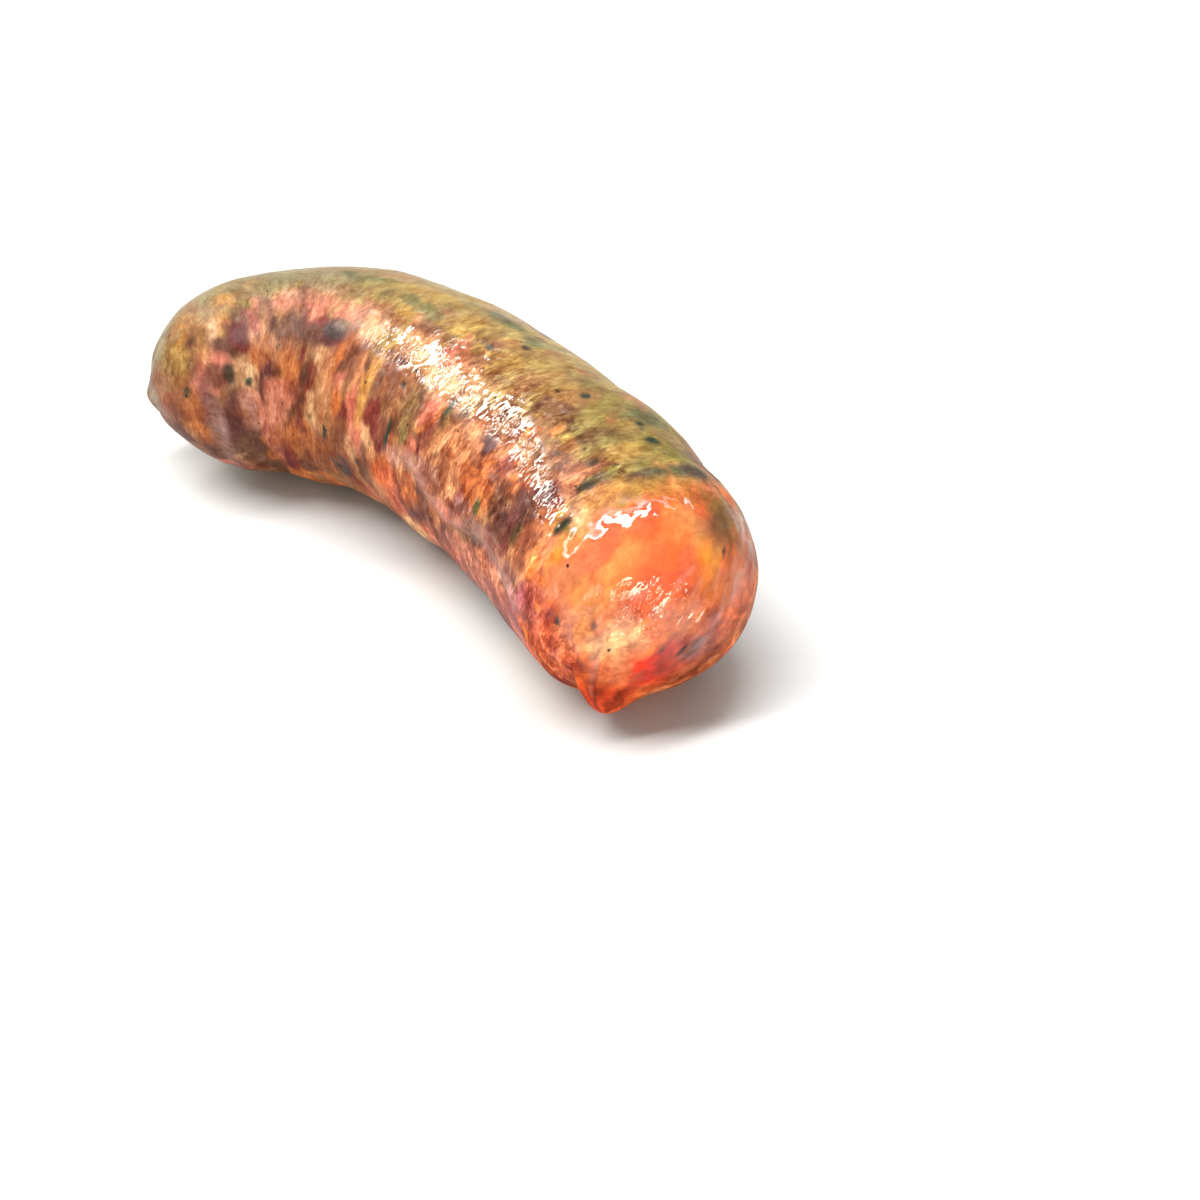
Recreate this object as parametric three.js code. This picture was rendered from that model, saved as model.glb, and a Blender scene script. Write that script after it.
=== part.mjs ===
import * as THREE from "three";
import { mergeVertices } from "three/addons/utils/BufferGeometryUtils.js";

// One fresh sausage link: coarse ground meat in a thin natural casing, pinched shut at both ends.
// Sizes are in millimetres, +Z is up, and the link rests on z = 0 with its chord along +X.
// "Along" is the distance from the back tip on the bent middle line, and "around" is the angle
// from the crest, positive towards the hollow side of the bend, which faces -Y.

// Overall size
const LENGTH = 126;
const RADIUS = 18;
const PRESSED_FLAT = 1.2;

// Bend of the middle line, lying flat: its radius at the back, in the middle and at the front
const BEND_RADIUS = { back: 25.8, middle: 83.3, front: 370 };
const MIDDLE_HEADING = -5.45;

// Slimmer stretches towards both ends
const TAPER = {
  back: { depth: 5.53, reach: 50.3 },
  front: { depth: 0.74, reach: 41.3 },
};

// Domed ends, each with a nub of pinched casing that widens towards the dome by its flare. A nub
// leans off the middle line by "turn" in plan and by "rise" in height, and its dome leans with it.
const END = {
  back: {
    dome: { length: 17, fullness: 2.01 },
    nub: { length: 1.83, radius: 2, flare: 1.2 },
    lean: { turn: -13.6, rise: -15.1 },
  },
  front: {
    dome: { length: 16.1, fullness: 2.12 },
    nub: { length: 3.9, radius: 2.54, flare: 2.4 },
    lean: { turn: -41.1, rise: -36.2 },
  },
};
const NUB_ROUNDING = 0.9;
const NUB_FILLET = 1.6;

// Uneven filling: long swells of the surface
const SWELLS = [
  { depth: 0.3, wavelength: 46, lobes: 1, shift: 0.4 },
  { depth: 0.22, wavelength: 29, lobes: 2, shift: 2.1 },
  { depth: 0.16, wavelength: 17, lobes: 3, shift: 4.4 },
];
const SWELL_FADE = 12;

// Pleats that gather the casing into each nub
const PLEATS = {
  back: { count: 9, depth: 0.34, reach: 11, shift: 0.6 },
  front: { count: 11, depth: 0.46, reach: 15, shift: 1.9 },
};
const PLEAT_START = 3.5;

// A folded strip of casing that stands proud along the hollow side
const FOLD = { from: 62, to: 114, around: 79, sway: -5, swayLength: 27, height: 0.4, halfWidth: 1.5 };

// A crease round the hollow side near the back end, with a low lip beside it
const CREASE = { along: 10.9, lean: 3, from: 50, to: 150, depth: 0.55, halfWidth: 1.6, lip: 0.25 };

// Mesh density
const SEGMENTS_AROUND = 56;
const BODY_STEP = 2.4;
const DOME_STEPS = 9;
const NUB_STATIONS = [0, 0.08, 0.3, 0.65];
const LINE_STEPS = 60;

const CASING_COLOUR = 0xb9744f;
const CASING_ROUGHNESS = 0.32;

// The middle line is bent between the two dome centres and straight beyond them
const LINE_START = END.back.nub.length + END.back.dome.length;
const LINE_END = LENGTH - END.front.nub.length - END.front.dome.length;
const HALF_LINE = (LINE_END - LINE_START) / 2;
const LINE_MIDDLE = (LINE_START + LINE_END) / 2;
const LINE_HEIGHT = RADIUS - PRESSED_FLAT;

const { clamp, degToRad, smoothstep } = THREE.MathUtils;
const UP = new THREE.Vector3(0, 0, 1);

// A smooth bump: 1 in the middle, 0 from "halfWidth" away
function bump(offset, halfWidth) {
  const share = clamp(Math.abs(offset) / halfWidth, 0, 1);
  return (1 - share * share) ** 2;
}

// The larger of two values, with a rounded change-over "width" wide
function filletedMax(a, b, width) {
  const share = clamp(0.5 + (0.5 * (a - b)) / Math.max(width, 1e-6), 0, 1);
  return b + (a - b) * share + width * share * (1 - share);
}

// Radius

function taperedRadius(along) {
  const back = clamp(1 - along / TAPER.back.reach, 0, 1);
  const front = clamp(1 - (LENGTH - along) / TAPER.front.reach, 0, 1);
  return RADIUS - TAPER.back.depth * back ** 2 - TAPER.front.depth * front ** 2;
}

function domeShare(fromTip, { dome, nub }) {
  const share = clamp((fromTip - nub.length) / dome.length, 0, 1);
  return (1 - (1 - share) ** dome.fullness) ** (1 / dome.fullness);
}

function nubRadius(fromTip, { nub }) {
  const tip = clamp(fromTip / (nub.radius * NUB_ROUNDING), 0, 1);
  const widening = clamp(fromTip / nub.length, 0, 1);
  return nub.radius * Math.sqrt(1 - (1 - tip) ** 2) + nub.flare * widening ** 2;
}

function radiusAt(along) {
  const end = along < LENGTH / 2 ? END.back : END.front;
  const fromTip = Math.min(along, LENGTH - along);
  const body = taperedRadius(along) * domeShare(along, END.back) * domeShare(LENGTH - along, END.front);
  const fillet = NUB_FILLET * smoothstep(fromTip, 0, end.nub.length);
  return filletedMax(body, nubRadius(fromTip, end), fillet);
}

// Relief of the casing, in millimetres outwards

function swells(along, around) {
  const fade = smoothstep(Math.min(along, LENGTH - along), 0, SWELL_FADE);
  const wave = ({ depth, wavelength, lobes, shift }) =>
    depth * Math.cos((2 * Math.PI * along) / wavelength + shift) * Math.cos(lobes * around + 2 * shift);
  return fade * SWELLS.reduce((sum, swell) => sum + wave(swell), 0);
}

function pleats(fromTip, around, { count, depth, reach, shift }) {
  const fade = (1 - smoothstep(fromTip, 0, reach)) * smoothstep(fromTip, 0, PLEAT_START);
  const wobble = 0.5 * Math.cos(3 * around + shift);
  return depth * fade * Math.cos(count * around + shift + wobble);
}

function fold(along, around) {
  const ends = smoothstep(along, FOLD.from, FOLD.from + 8) * (1 - smoothstep(along, FOLD.to - 8, FOLD.to));
  const sway = FOLD.sway * Math.sin((2 * Math.PI * (along - FOLD.from)) / FOLD.swayLength);
  const offset = (around - degToRad(FOLD.around + sway)) * RADIUS;
  return FOLD.height * ends * bump(offset, FOLD.halfWidth);
}

function crease(along, around) {
  const share = (around - degToRad(CREASE.from)) / degToRad(CREASE.to - CREASE.from);
  if (share <= 0 || share >= 1) return 0;
  const offset = along - CREASE.along - CREASE.lean * share;
  const groove = CREASE.depth * bump(offset, CREASE.halfWidth);
  const lip = CREASE.lip * bump(offset - 1.6 * CREASE.halfWidth, CREASE.halfWidth);
  return Math.sin(Math.PI * share) * (lip - groove);
}

function relief(along, around) {
  return (
    swells(along, around) +
    pleats(along, around, PLEATS.back) +
    pleats(LENGTH - along, around, PLEATS.front) +
    fold(along, around) +
    crease(along, around)
  );
}

// Middle line

function heading(along) {
  const u = (clamp(along, LINE_START, LINE_END) - LINE_MIDDLE) / HALF_LINE;
  const [back, middle, front] = [BEND_RADIUS.back, BEND_RADIUS.middle, BEND_RADIUS.front].map((r) => -1 / r);
  const slope = (front - back) / 2;
  const hollow = (front + back) / 2 - middle;
  const turned = HALF_LINE * (middle * u + (slope * u ** 2) / 2 + (hollow * u ** 3) / 3);
  return degToRad(MIDDLE_HEADING) + turned;
}

function middlePoint(along) {
  const step = (clamp(along, LINE_START, LINE_END) - LINE_MIDDLE) / LINE_STEPS;
  const point = new THREE.Vector3(0, 0, LINE_HEIGHT);
  for (let i = 0; i < LINE_STEPS; i += 1) {
    const angle = heading(LINE_MIDDLE + (i + 0.5) * step);
    point.x += step * Math.cos(angle);
    point.y += step * Math.sin(angle);
  }
  return point;
}

// How a domed end leans: the whole lean at its nub, and none where the dome meets the body
function lean(along) {
  const back = along < LENGTH / 2;
  const end = back ? END.back : END.front;
  const fromTip = back ? along : LENGTH - along;
  const angle = heading(along);
  const outwards = new THREE.Vector3(Math.cos(angle), Math.sin(angle), 0).multiplyScalar(back ? -1 : 1);
  const aim = outwards.clone().applyAxisAngle(UP, degToRad(end.lean.turn));
  aim.multiplyScalar(Math.cos(degToRad(end.lean.rise))).setZ(Math.sin(degToRad(end.lean.rise)));
  const whole = new THREE.Quaternion().setFromUnitVectors(outwards, aim);
  const share = clamp((fromTip - end.nub.length) / end.dome.length, 0, 1);
  const latitude = 1 - Math.acos((1 - share) ** (end.dome.fullness / 2)) / (Math.PI / 2);
  const part = 0.5 * latitude + 0.5 * latitude ** 2 * (3 - 2 * latitude);
  return new THREE.Quaternion().slerp(whole, part);
}

// Shape

function stationsFromTip({ dome, nub }) {
  const onNub = NUB_STATIONS.map((share) => share * nub.length);
  const onDome = Array.from({ length: DOME_STEPS + 1 }, (_, i) => {
    const latitude = ((Math.PI / 2) * i) / DOME_STEPS;
    return nub.length + dome.length * (1 - Math.max(Math.cos(latitude), 0) ** (2 / dome.fullness));
  });
  return [...onNub, ...onDome];
}

function straightProfile() {
  const back = stationsFromTip(END.back);
  const front = stationsFromTip(END.front).map((fromTip) => LENGTH - fromTip).reverse();
  const bodySteps = Math.round((LINE_END - LINE_START) / BODY_STEP);
  const body = Array.from(
    { length: bodySteps - 1 },
    (_, i) => LINE_START + ((LINE_END - LINE_START) * (i + 1)) / bodySteps,
  );
  return [...back, ...body, ...front].map((along) => {
    const onAxis = along <= 0 || along >= LENGTH;
    return new THREE.Vector2(onAxis ? 0 : radiusAt(along), along);
  });
}

// Moves a point of the straight link, which stands along its own Y, onto the bent and leaning one
function bentPoint(straight) {
  const along = straight.y;
  const around = Math.atan2(straight.x, straight.z);
  const bare = Math.hypot(straight.x, straight.z);
  const radius = bare > 0 ? Math.max(bare + relief(along, around), bare / 2) : 0;
  const angle = heading(along);
  const forwards = new THREE.Vector3(Math.cos(angle), Math.sin(angle), 0);
  const hollowSide = new THREE.Vector3(Math.sin(angle), -Math.cos(angle), 0);
  const beyond = along - clamp(along, LINE_START, LINE_END);
  const offset = forwards.multiplyScalar(beyond);
  offset.addScaledVector(UP, radius * Math.cos(around));
  offset.addScaledVector(hollowSide, radius * Math.sin(around));
  if (beyond !== 0) offset.applyQuaternion(lean(along));
  const point = middlePoint(along).add(offset);
  point.z = Math.max(point.z, 0);
  return point;
}

function withoutEmptyTriangles(geometry) {
  const index = geometry.getIndex().array;
  const kept = [];
  for (let i = 0; i < index.length; i += 3) {
    const [a, b, c] = index.slice(i, i + 3);
    if (a !== b && b !== c && c !== a) kept.push(a, b, c);
  }
  geometry.setIndex(kept);
  return geometry;
}

function linkGeometry() {
  const lathe = new THREE.LatheGeometry(straightProfile(), SEGMENTS_AROUND);
  lathe.deleteAttribute("normal");
  lathe.deleteAttribute("uv");
  const geometry = withoutEmptyTriangles(mergeVertices(lathe));
  const position = geometry.getAttribute("position");
  const straight = new THREE.Vector3();
  for (let i = 0; i < position.count; i += 1) {
    straight.fromBufferAttribute(position, i);
    const point = bentPoint(straight);
    position.setXYZ(i, point.x, point.y, point.z);
  }
  geometry.computeBoundingBox();
  const middle = geometry.boundingBox.getCenter(new THREE.Vector3());
  geometry.translate(-middle.x, -middle.y, 0);
  geometry.computeVertexNormals();
  return geometry;
}

const casing = new THREE.MeshStandardMaterial({
  color: CASING_COLOUR,
  roughness: CASING_ROUGHNESS,
  metalness: 0,
});

const link = new THREE.Mesh(linkGeometry(), casing);
link.name = "sausage_link";

const part = new THREE.Group();
part.add(link);

export default part;
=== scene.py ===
"""Fresh sausage link, dressed: coarse ground meat that shows through a thin, wet natural casing.

The link's own sizes are in millimetres and its angles in degrees. "Along" is the distance from the
back tip on the bent middle line, and "around" is the angle from the crest, positive towards the
hollow side of the bend, which faces -Y. Meshes, lights and the camera are in metres.
"""

import logging
import math
from dataclasses import dataclass, field
from enum import Enum

import bpy
import numpy as np
from mathutils import Matrix, Vector


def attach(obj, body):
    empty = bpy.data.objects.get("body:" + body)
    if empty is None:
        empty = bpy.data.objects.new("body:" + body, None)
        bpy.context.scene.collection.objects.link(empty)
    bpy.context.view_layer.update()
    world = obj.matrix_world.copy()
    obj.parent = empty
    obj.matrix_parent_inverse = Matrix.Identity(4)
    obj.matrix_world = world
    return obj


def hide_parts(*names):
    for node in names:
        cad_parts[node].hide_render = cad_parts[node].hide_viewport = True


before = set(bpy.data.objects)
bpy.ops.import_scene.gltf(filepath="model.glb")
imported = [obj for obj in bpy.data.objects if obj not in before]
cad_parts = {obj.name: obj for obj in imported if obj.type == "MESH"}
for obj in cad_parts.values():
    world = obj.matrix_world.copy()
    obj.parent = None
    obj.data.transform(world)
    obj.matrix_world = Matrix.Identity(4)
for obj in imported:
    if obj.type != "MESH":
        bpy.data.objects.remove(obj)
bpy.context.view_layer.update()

LOG = logging.getLogger("sausage_link")
MILLIMETRE = 0.001
NEARLY_ZERO = 1e-6

Array = np.ndarray
Colour = tuple[float, float, float]
Triple = tuple[float, float, float]


class Tint(Enum):
    """Colours of the filling and of the casing over it, as linear red, green and blue."""

    FAT = (0.92, 0.62, 0.36)
    CREAM = (0.6, 0.35, 0.17)
    APRICOT = (0.78, 0.35, 0.13)
    FLAME = (0.8, 0.17, 0.045)
    YELLOW = (0.8, 0.33, 0.05)
    STRAW = (0.55, 0.28, 0.075)
    AMBER = (0.36, 0.14, 0.03)
    PINK = (0.6, 0.22, 0.13)
    CORAL = (0.8, 0.13, 0.055)
    PEACH = (0.5, 0.225, 0.1)
    SALMON = (0.52, 0.16, 0.1)
    ORANGE = (0.46, 0.135, 0.035)
    RED = (0.8, 0.022, 0.006)
    NUB_RED = (0.42, 0.05, 0.02)
    PLUM = (0.3, 0.05, 0.04)
    CRIMSON = (0.15, 0.02, 0.015)
    PURPLE = (0.11, 0.03, 0.03)
    RUST = (0.28, 0.09, 0.032)
    BROWN = (0.12, 0.044, 0.022)
    TAN = (0.31, 0.14, 0.058)
    OLIVE = (0.17, 0.15, 0.038)
    KHAKI = (0.31, 0.22, 0.07)
    OCHRE = (0.36, 0.22, 0.055)
    SAGE = (0.26, 0.2, 0.1)
    GREY_GREEN = (0.09, 0.115, 0.055)
    SLATE = (0.035, 0.035, 0.035)
    LILAC = (0.36, 0.2, 0.17)
    MAUVE = (0.25, 0.07, 0.09)
    ASH = (0.25, 0.19, 0.105)
    HERB = (0.01, 0.035, 0.022)
    MOSS = (0.05, 0.08, 0.02)
    PEPPER = (0.008, 0.007, 0.007)


TintShares = tuple[tuple[Tint, float], ...]


class Mask(Enum):
    """Names of the values that the mesh carries for its material."""

    TINT = "filling_tint"
    CRINKLE = "casing_crinkle"
    MEMBRANE = "casing_membrane"
    WETNESS = "casing_wetness"
    STREAKS = "filling_streaks"
    STRAIGHT = "straight_place"


def smooth_step(value: Array, low: float, high: float) -> Array:
    """Rises from 0 at low to 1 at high, level at both ends."""
    share = np.clip((value - low) / (high - low), 0.0, 1.0)
    return share * share * (3.0 - 2.0 * share)


def bump(offset: Array, half_width: float) -> Array:
    """Is 1 where the offset is 0, and 0 from half_width away."""
    share = np.clip(np.abs(offset) / half_width, 0.0, 1.0)
    return (1.0 - share**2) ** 2


def filleted_max(first: Array, second: Array, width: Array) -> Array:
    """Takes the larger value, with a rounded change-over.

    Args:
        first: One value at each place.
        second: The other value at each place.
        width: How wide the change-over is, at each place.

    Returns:
        The blended larger value.
    """
    share = np.clip(0.5 + 0.5 * (first - second) / np.maximum(width, NEARLY_ZERO), 0.0, 1.0)
    return second + (first - second) * share + width * share * (1.0 - share)


def turned(vectors: Array, axis: Array, angles: Array) -> Array:
    """Turns vectors about one axis.

    Args:
        vectors: Vectors as rows of three.
        axis: The axis, as a unit vector.
        angles: One angle in radians for each row.

    Returns:
        The turned vectors.
    """
    cosine, sine = np.cos(angles)[:, None], np.sin(angles)[:, None]
    along_axis = (vectors @ axis)[:, None] * axis
    return vectors * cosine + np.cross(axis, vectors) * sine + along_axis * (1.0 - cosine)


@dataclass(frozen=True)
class Rise:
    """A smooth rise from 0 at one place to 1 at another."""

    low: float
    high: float

    def share(self, value: Array) -> Array:
        """How far the rise has come at each place."""
        return smooth_step(value, self.low, self.high)


@dataclass(frozen=True)
class Lobe:
    """A smooth hump: 1 in its middle, and 0 from its reach away."""

    middle: float
    reach: float

    def share(self, value: Array) -> Array:
        """How high the hump is at each place."""
        return bump(value - self.middle, self.reach)


@dataclass
class SmoothNoise:
    """Seeded noise on a lattice that repeats, smooth in three dimensions, from -1 to 1."""

    seed: int
    cells: int = 48
    layer_shift: float = 7.3
    lattice: Array = field(init=False)

    def __post_init__(self) -> None:
        """Draws the lattice's values once."""
        draw = np.random.default_rng(self.seed)
        self.lattice = draw.uniform(-1.0, 1.0, (self.cells, self.cells, self.cells))

    def at(self, places: Array) -> Array:
        """Reads the noise.

        Args:
            places: Points as rows of three, in units of the lattice.

        Returns:
            One value for each point.
        """
        low = np.floor(places).astype(int)
        part = places - low
        part = part * part * (3.0 - 2.0 * part)
        total = np.zeros(len(places))
        for corner in np.ndindex(2, 2, 2):
            weight = np.ones(len(places))
            for axis, side in enumerate(corner):
                weight *= part[:, axis] if side else 1.0 - part[:, axis]
            x, y, z = ((low + corner) % self.cells).T
            total += weight * self.lattice[x, y, z]
        return total

    def layered(self, places: Array, layers: int) -> Array:
        """Adds finer and weaker noise on the first.

        Args:
            places: Points as rows of three, in units of the lattice.
            layers: How many layers, each twice as fine and half as strong as the last.

        Returns:
            One value for each point, from about -1 to 1.
        """
        total = np.zeros(len(places))
        for layer in range(layers):
            total += self.at(places * 2.0**layer + self.layer_shift * layer) * 0.5**layer
        return total


@dataclass(frozen=True)
class DomedEnd:
    """One end of the link: a dome, and the pinched nub of casing that the dome leans with."""

    dome_length: float
    dome_fullness: float
    nub_length: float
    nub_radius: float
    nub_flare: float
    turn: float
    rise: float
    nub_rounding: float = 0.9

    @property
    def length(self) -> float:
        """The dome and the nub together, along the middle line."""
        return self.dome_length + self.nub_length

    def dome_share(self, from_tip: Array) -> Array:
        """The dome's radius at a distance from the tip, as a share of the body's."""
        share = np.clip((from_tip - self.nub_length) / self.dome_length, 0.0, 1.0)
        return (1.0 - (1.0 - share) ** self.dome_fullness) ** (1.0 / self.dome_fullness)

    def nub_profile(self, from_tip: Array) -> Array:
        """The nub's radius, with its round tip and its flare.

        Args:
            from_tip: Distances from the tip.

        Returns:
            One radius for each distance.
        """
        tip = np.clip(from_tip / (self.nub_radius * self.nub_rounding), 0.0, 1.0)
        widening = np.clip(from_tip / self.nub_length, 0.0, 1.0)
        return self.nub_radius * np.sqrt(1.0 - (1.0 - tip) ** 2) + self.nub_flare * widening**2

    def lean_share(self, from_tip: Array) -> Array:
        """How much of the whole lean a place has: all of it at the nub, none at the body.

        Args:
            from_tip: Distances from the tip.

        Returns:
            One share for each distance.
        """
        share = np.clip((from_tip - self.nub_length) / self.dome_length, 0.0, 1.0)
        latitude = 1.0 - np.arccos((1.0 - share) ** (self.dome_fullness / 2.0)) / (math.pi / 2.0)
        return 0.5 * latitude + 0.5 * latitude**2 * (3.0 - 2.0 * latitude)

    def leaned(self, offsets: Array, from_tip: Array, outwards: Array) -> Array:
        """Leans the end's points about the middle of its dome.

        Args:
            offsets: Points as rows of three, counted from the middle of the dome.
            from_tip: Each point's distance from the tip.
            outwards: The way out of this end before it leans, as a unit vector.

        Returns:
            The points after the lean.
        """
        heading = math.atan2(outwards[1], outwards[0]) + math.radians(self.turn)
        rise = math.radians(self.rise)
        level = math.cos(rise)
        aim = np.array([level * math.cos(heading), level * math.sin(heading), math.sin(rise)])
        axis = np.cross(outwards, aim)
        sine = np.linalg.norm(axis)
        whole = math.atan2(sine, float(outwards @ aim))
        return turned(offsets, axis / sine, whole * self.lean_share(from_tip))


@dataclass(frozen=True)
class Swell:
    """A long wave of the surface where the filling lies unevenly."""

    depth: float
    wavelength: float
    lobes: int
    shift: float

    def height(self, along: Array, around: Array) -> Array:
        """The wave's height at each place, with around in radians."""
        wave = np.cos(2.0 * math.pi * along / self.wavelength + self.shift)
        return self.depth * wave * np.cos(self.lobes * around + 2.0 * self.shift)


@dataclass(frozen=True)
class PleatSet:
    """Pleats that gather the casing into a nub."""

    count: int
    depth: float
    reach: float
    shift: float
    start: float = 3.5

    def height(self, from_tip: Array, around: Array) -> Array:
        """The pleats' height at each place.

        Args:
            from_tip: Distances from the tip.
            around: Angles from the crest in radians.

        Returns:
            One height for each place, in millimetres outwards.
        """
        fade = (1.0 - smooth_step(from_tip, 0.0, self.reach)) * smooth_step(from_tip, 0.0, self.start)
        wobble = 0.5 * np.cos(3.0 * around + self.shift)
        return self.depth * fade * np.cos(self.count * around + self.shift + wobble)


@dataclass(frozen=True)
class FoldedStrip:
    """A folded strip of casing that runs along the link and stands proud of it."""

    start: float
    stop: float
    around: float
    sway: float
    sway_length: float
    height: float
    half_width: float
    radius: float = 18.0
    run_out: float = 8.0

    def offset(self, along: Array, around: Array) -> Array:
        """The distance round the link from the strip's middle, in millimetres."""
        sway = self.sway * np.sin(2.0 * math.pi * (along - self.start) / self.sway_length)
        return (around - np.radians(self.around + sway)) * self.radius

    def cover(self, along: Array, around: Array, half_width: float) -> Array:
        """How much of the strip lies at each place.

        Args:
            along: Distances from the back tip.
            around: Angles from the crest in radians.
            half_width: Half the strip's width, in millimetres.

        Returns:
            One share for each place, from 0 to 1.
        """
        rise = smooth_step(along, self.start, self.start + self.run_out)
        fall = 1.0 - smooth_step(along, self.stop - self.run_out, self.stop)
        return rise * fall * bump(self.offset(along, around), half_width)


@dataclass(frozen=True)
class WetBand:
    """The wet band that runs along the link beside its crest, given at a few places."""

    along: tuple[float, ...]
    around: tuple[float, ...]
    half_width: tuple[float, ...]
    wetness: tuple[float, ...]
    plateau: float = 1.8

    def share(self, along: Array, degrees: Array) -> Array:
        """How wet each place is.

        Args:
            along: Distances from the back tip.
            degrees: Angles from the crest in degrees.

        Returns:
            One share for each place, from 0 to 1.
        """
        middle = np.interp(along, self.along, self.around)
        width = np.interp(along, self.along, self.half_width)
        cover = np.clip(self.plateau * bump((degrees - middle) / width, 1.0), 0.0, 1.0)
        return np.interp(along, self.along, self.wetness) * cover


@dataclass(frozen=True)
class Crease:
    """A crease that runs part of the way round the link, with a low lip beside it."""

    along: float
    lean: float
    start: float
    stop: float
    depth: float
    half_width: float
    lip: float
    lip_offset: float = 1.6

    def share(self, around: Array) -> Array:
        """How far each place is from the crease's start to its stop, from 0 to 1."""
        whole = math.radians(self.stop - self.start)
        return np.clip((around - math.radians(self.start)) / whole, 0.0, 1.0)

    def offset(self, along: Array, around: Array) -> Array:
        """The distance along the link from the crease's bottom."""
        return along - self.along - self.lean * self.share(around)

    def height(self, along: Array, around: Array) -> Array:
        """The crease's height at each place.

        Args:
            along: Distances from the back tip.
            around: Angles from the crest in radians.

        Returns:
            One height for each place, in millimetres outwards.
        """
        offset = self.offset(along, around)
        groove = self.depth * bump(offset, self.half_width)
        lip = self.lip * bump(offset - self.lip_offset * self.half_width, self.half_width)
        return np.sin(math.pi * self.share(around)) * (lip - groove)


BACK_END = DomedEnd(
    dome_length=17.0,
    dome_fullness=2.01,
    nub_length=1.83,
    nub_radius=2.0,
    nub_flare=1.2,
    turn=-13.6,
    rise=-15.1,
)
FRONT_END = DomedEnd(
    dome_length=16.1,
    dome_fullness=2.12,
    nub_length=3.9,
    nub_radius=2.54,
    nub_flare=2.4,
    turn=-41.1,
    rise=-36.2,
)
SWELLS = (
    Swell(depth=0.3, wavelength=46.0, lobes=1, shift=0.4),
    Swell(depth=0.22, wavelength=29.0, lobes=2, shift=2.1),
    Swell(depth=0.16, wavelength=17.0, lobes=3, shift=4.4),
)
BACK_PLEATS = PleatSet(count=9, depth=0.34, reach=11.0, shift=0.6)
FRONT_PLEATS = PleatSet(count=11, depth=0.46, reach=15.0, shift=1.9)
FOLD = FoldedStrip(
    start=62.0, stop=114.0, around=79.0, sway=-5.0, sway_length=27.0, height=0.4, half_width=1.5
)
CREASE = Crease(along=10.9, lean=3.0, start=50.0, stop=150.0, depth=0.55, half_width=1.6, lip=0.25)
WET_BAND = WetBand(
    along=(28.0, 47.0, 60.0, 75.0, 87.0, 100.0, 108.0, 113.0),
    around=(18.0, 27.0, 25.0, 24.0, 28.0, 38.0, 41.0, 42.0),
    half_width=(12.0, 17.0, 23.0, 24.0, 14.0, 11.5, 11.0, 12.0),
    wetness=(0.05, 0.5, 1.0, 1.0, 0.95, 0.85, 0.85, 0.9),
)


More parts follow.
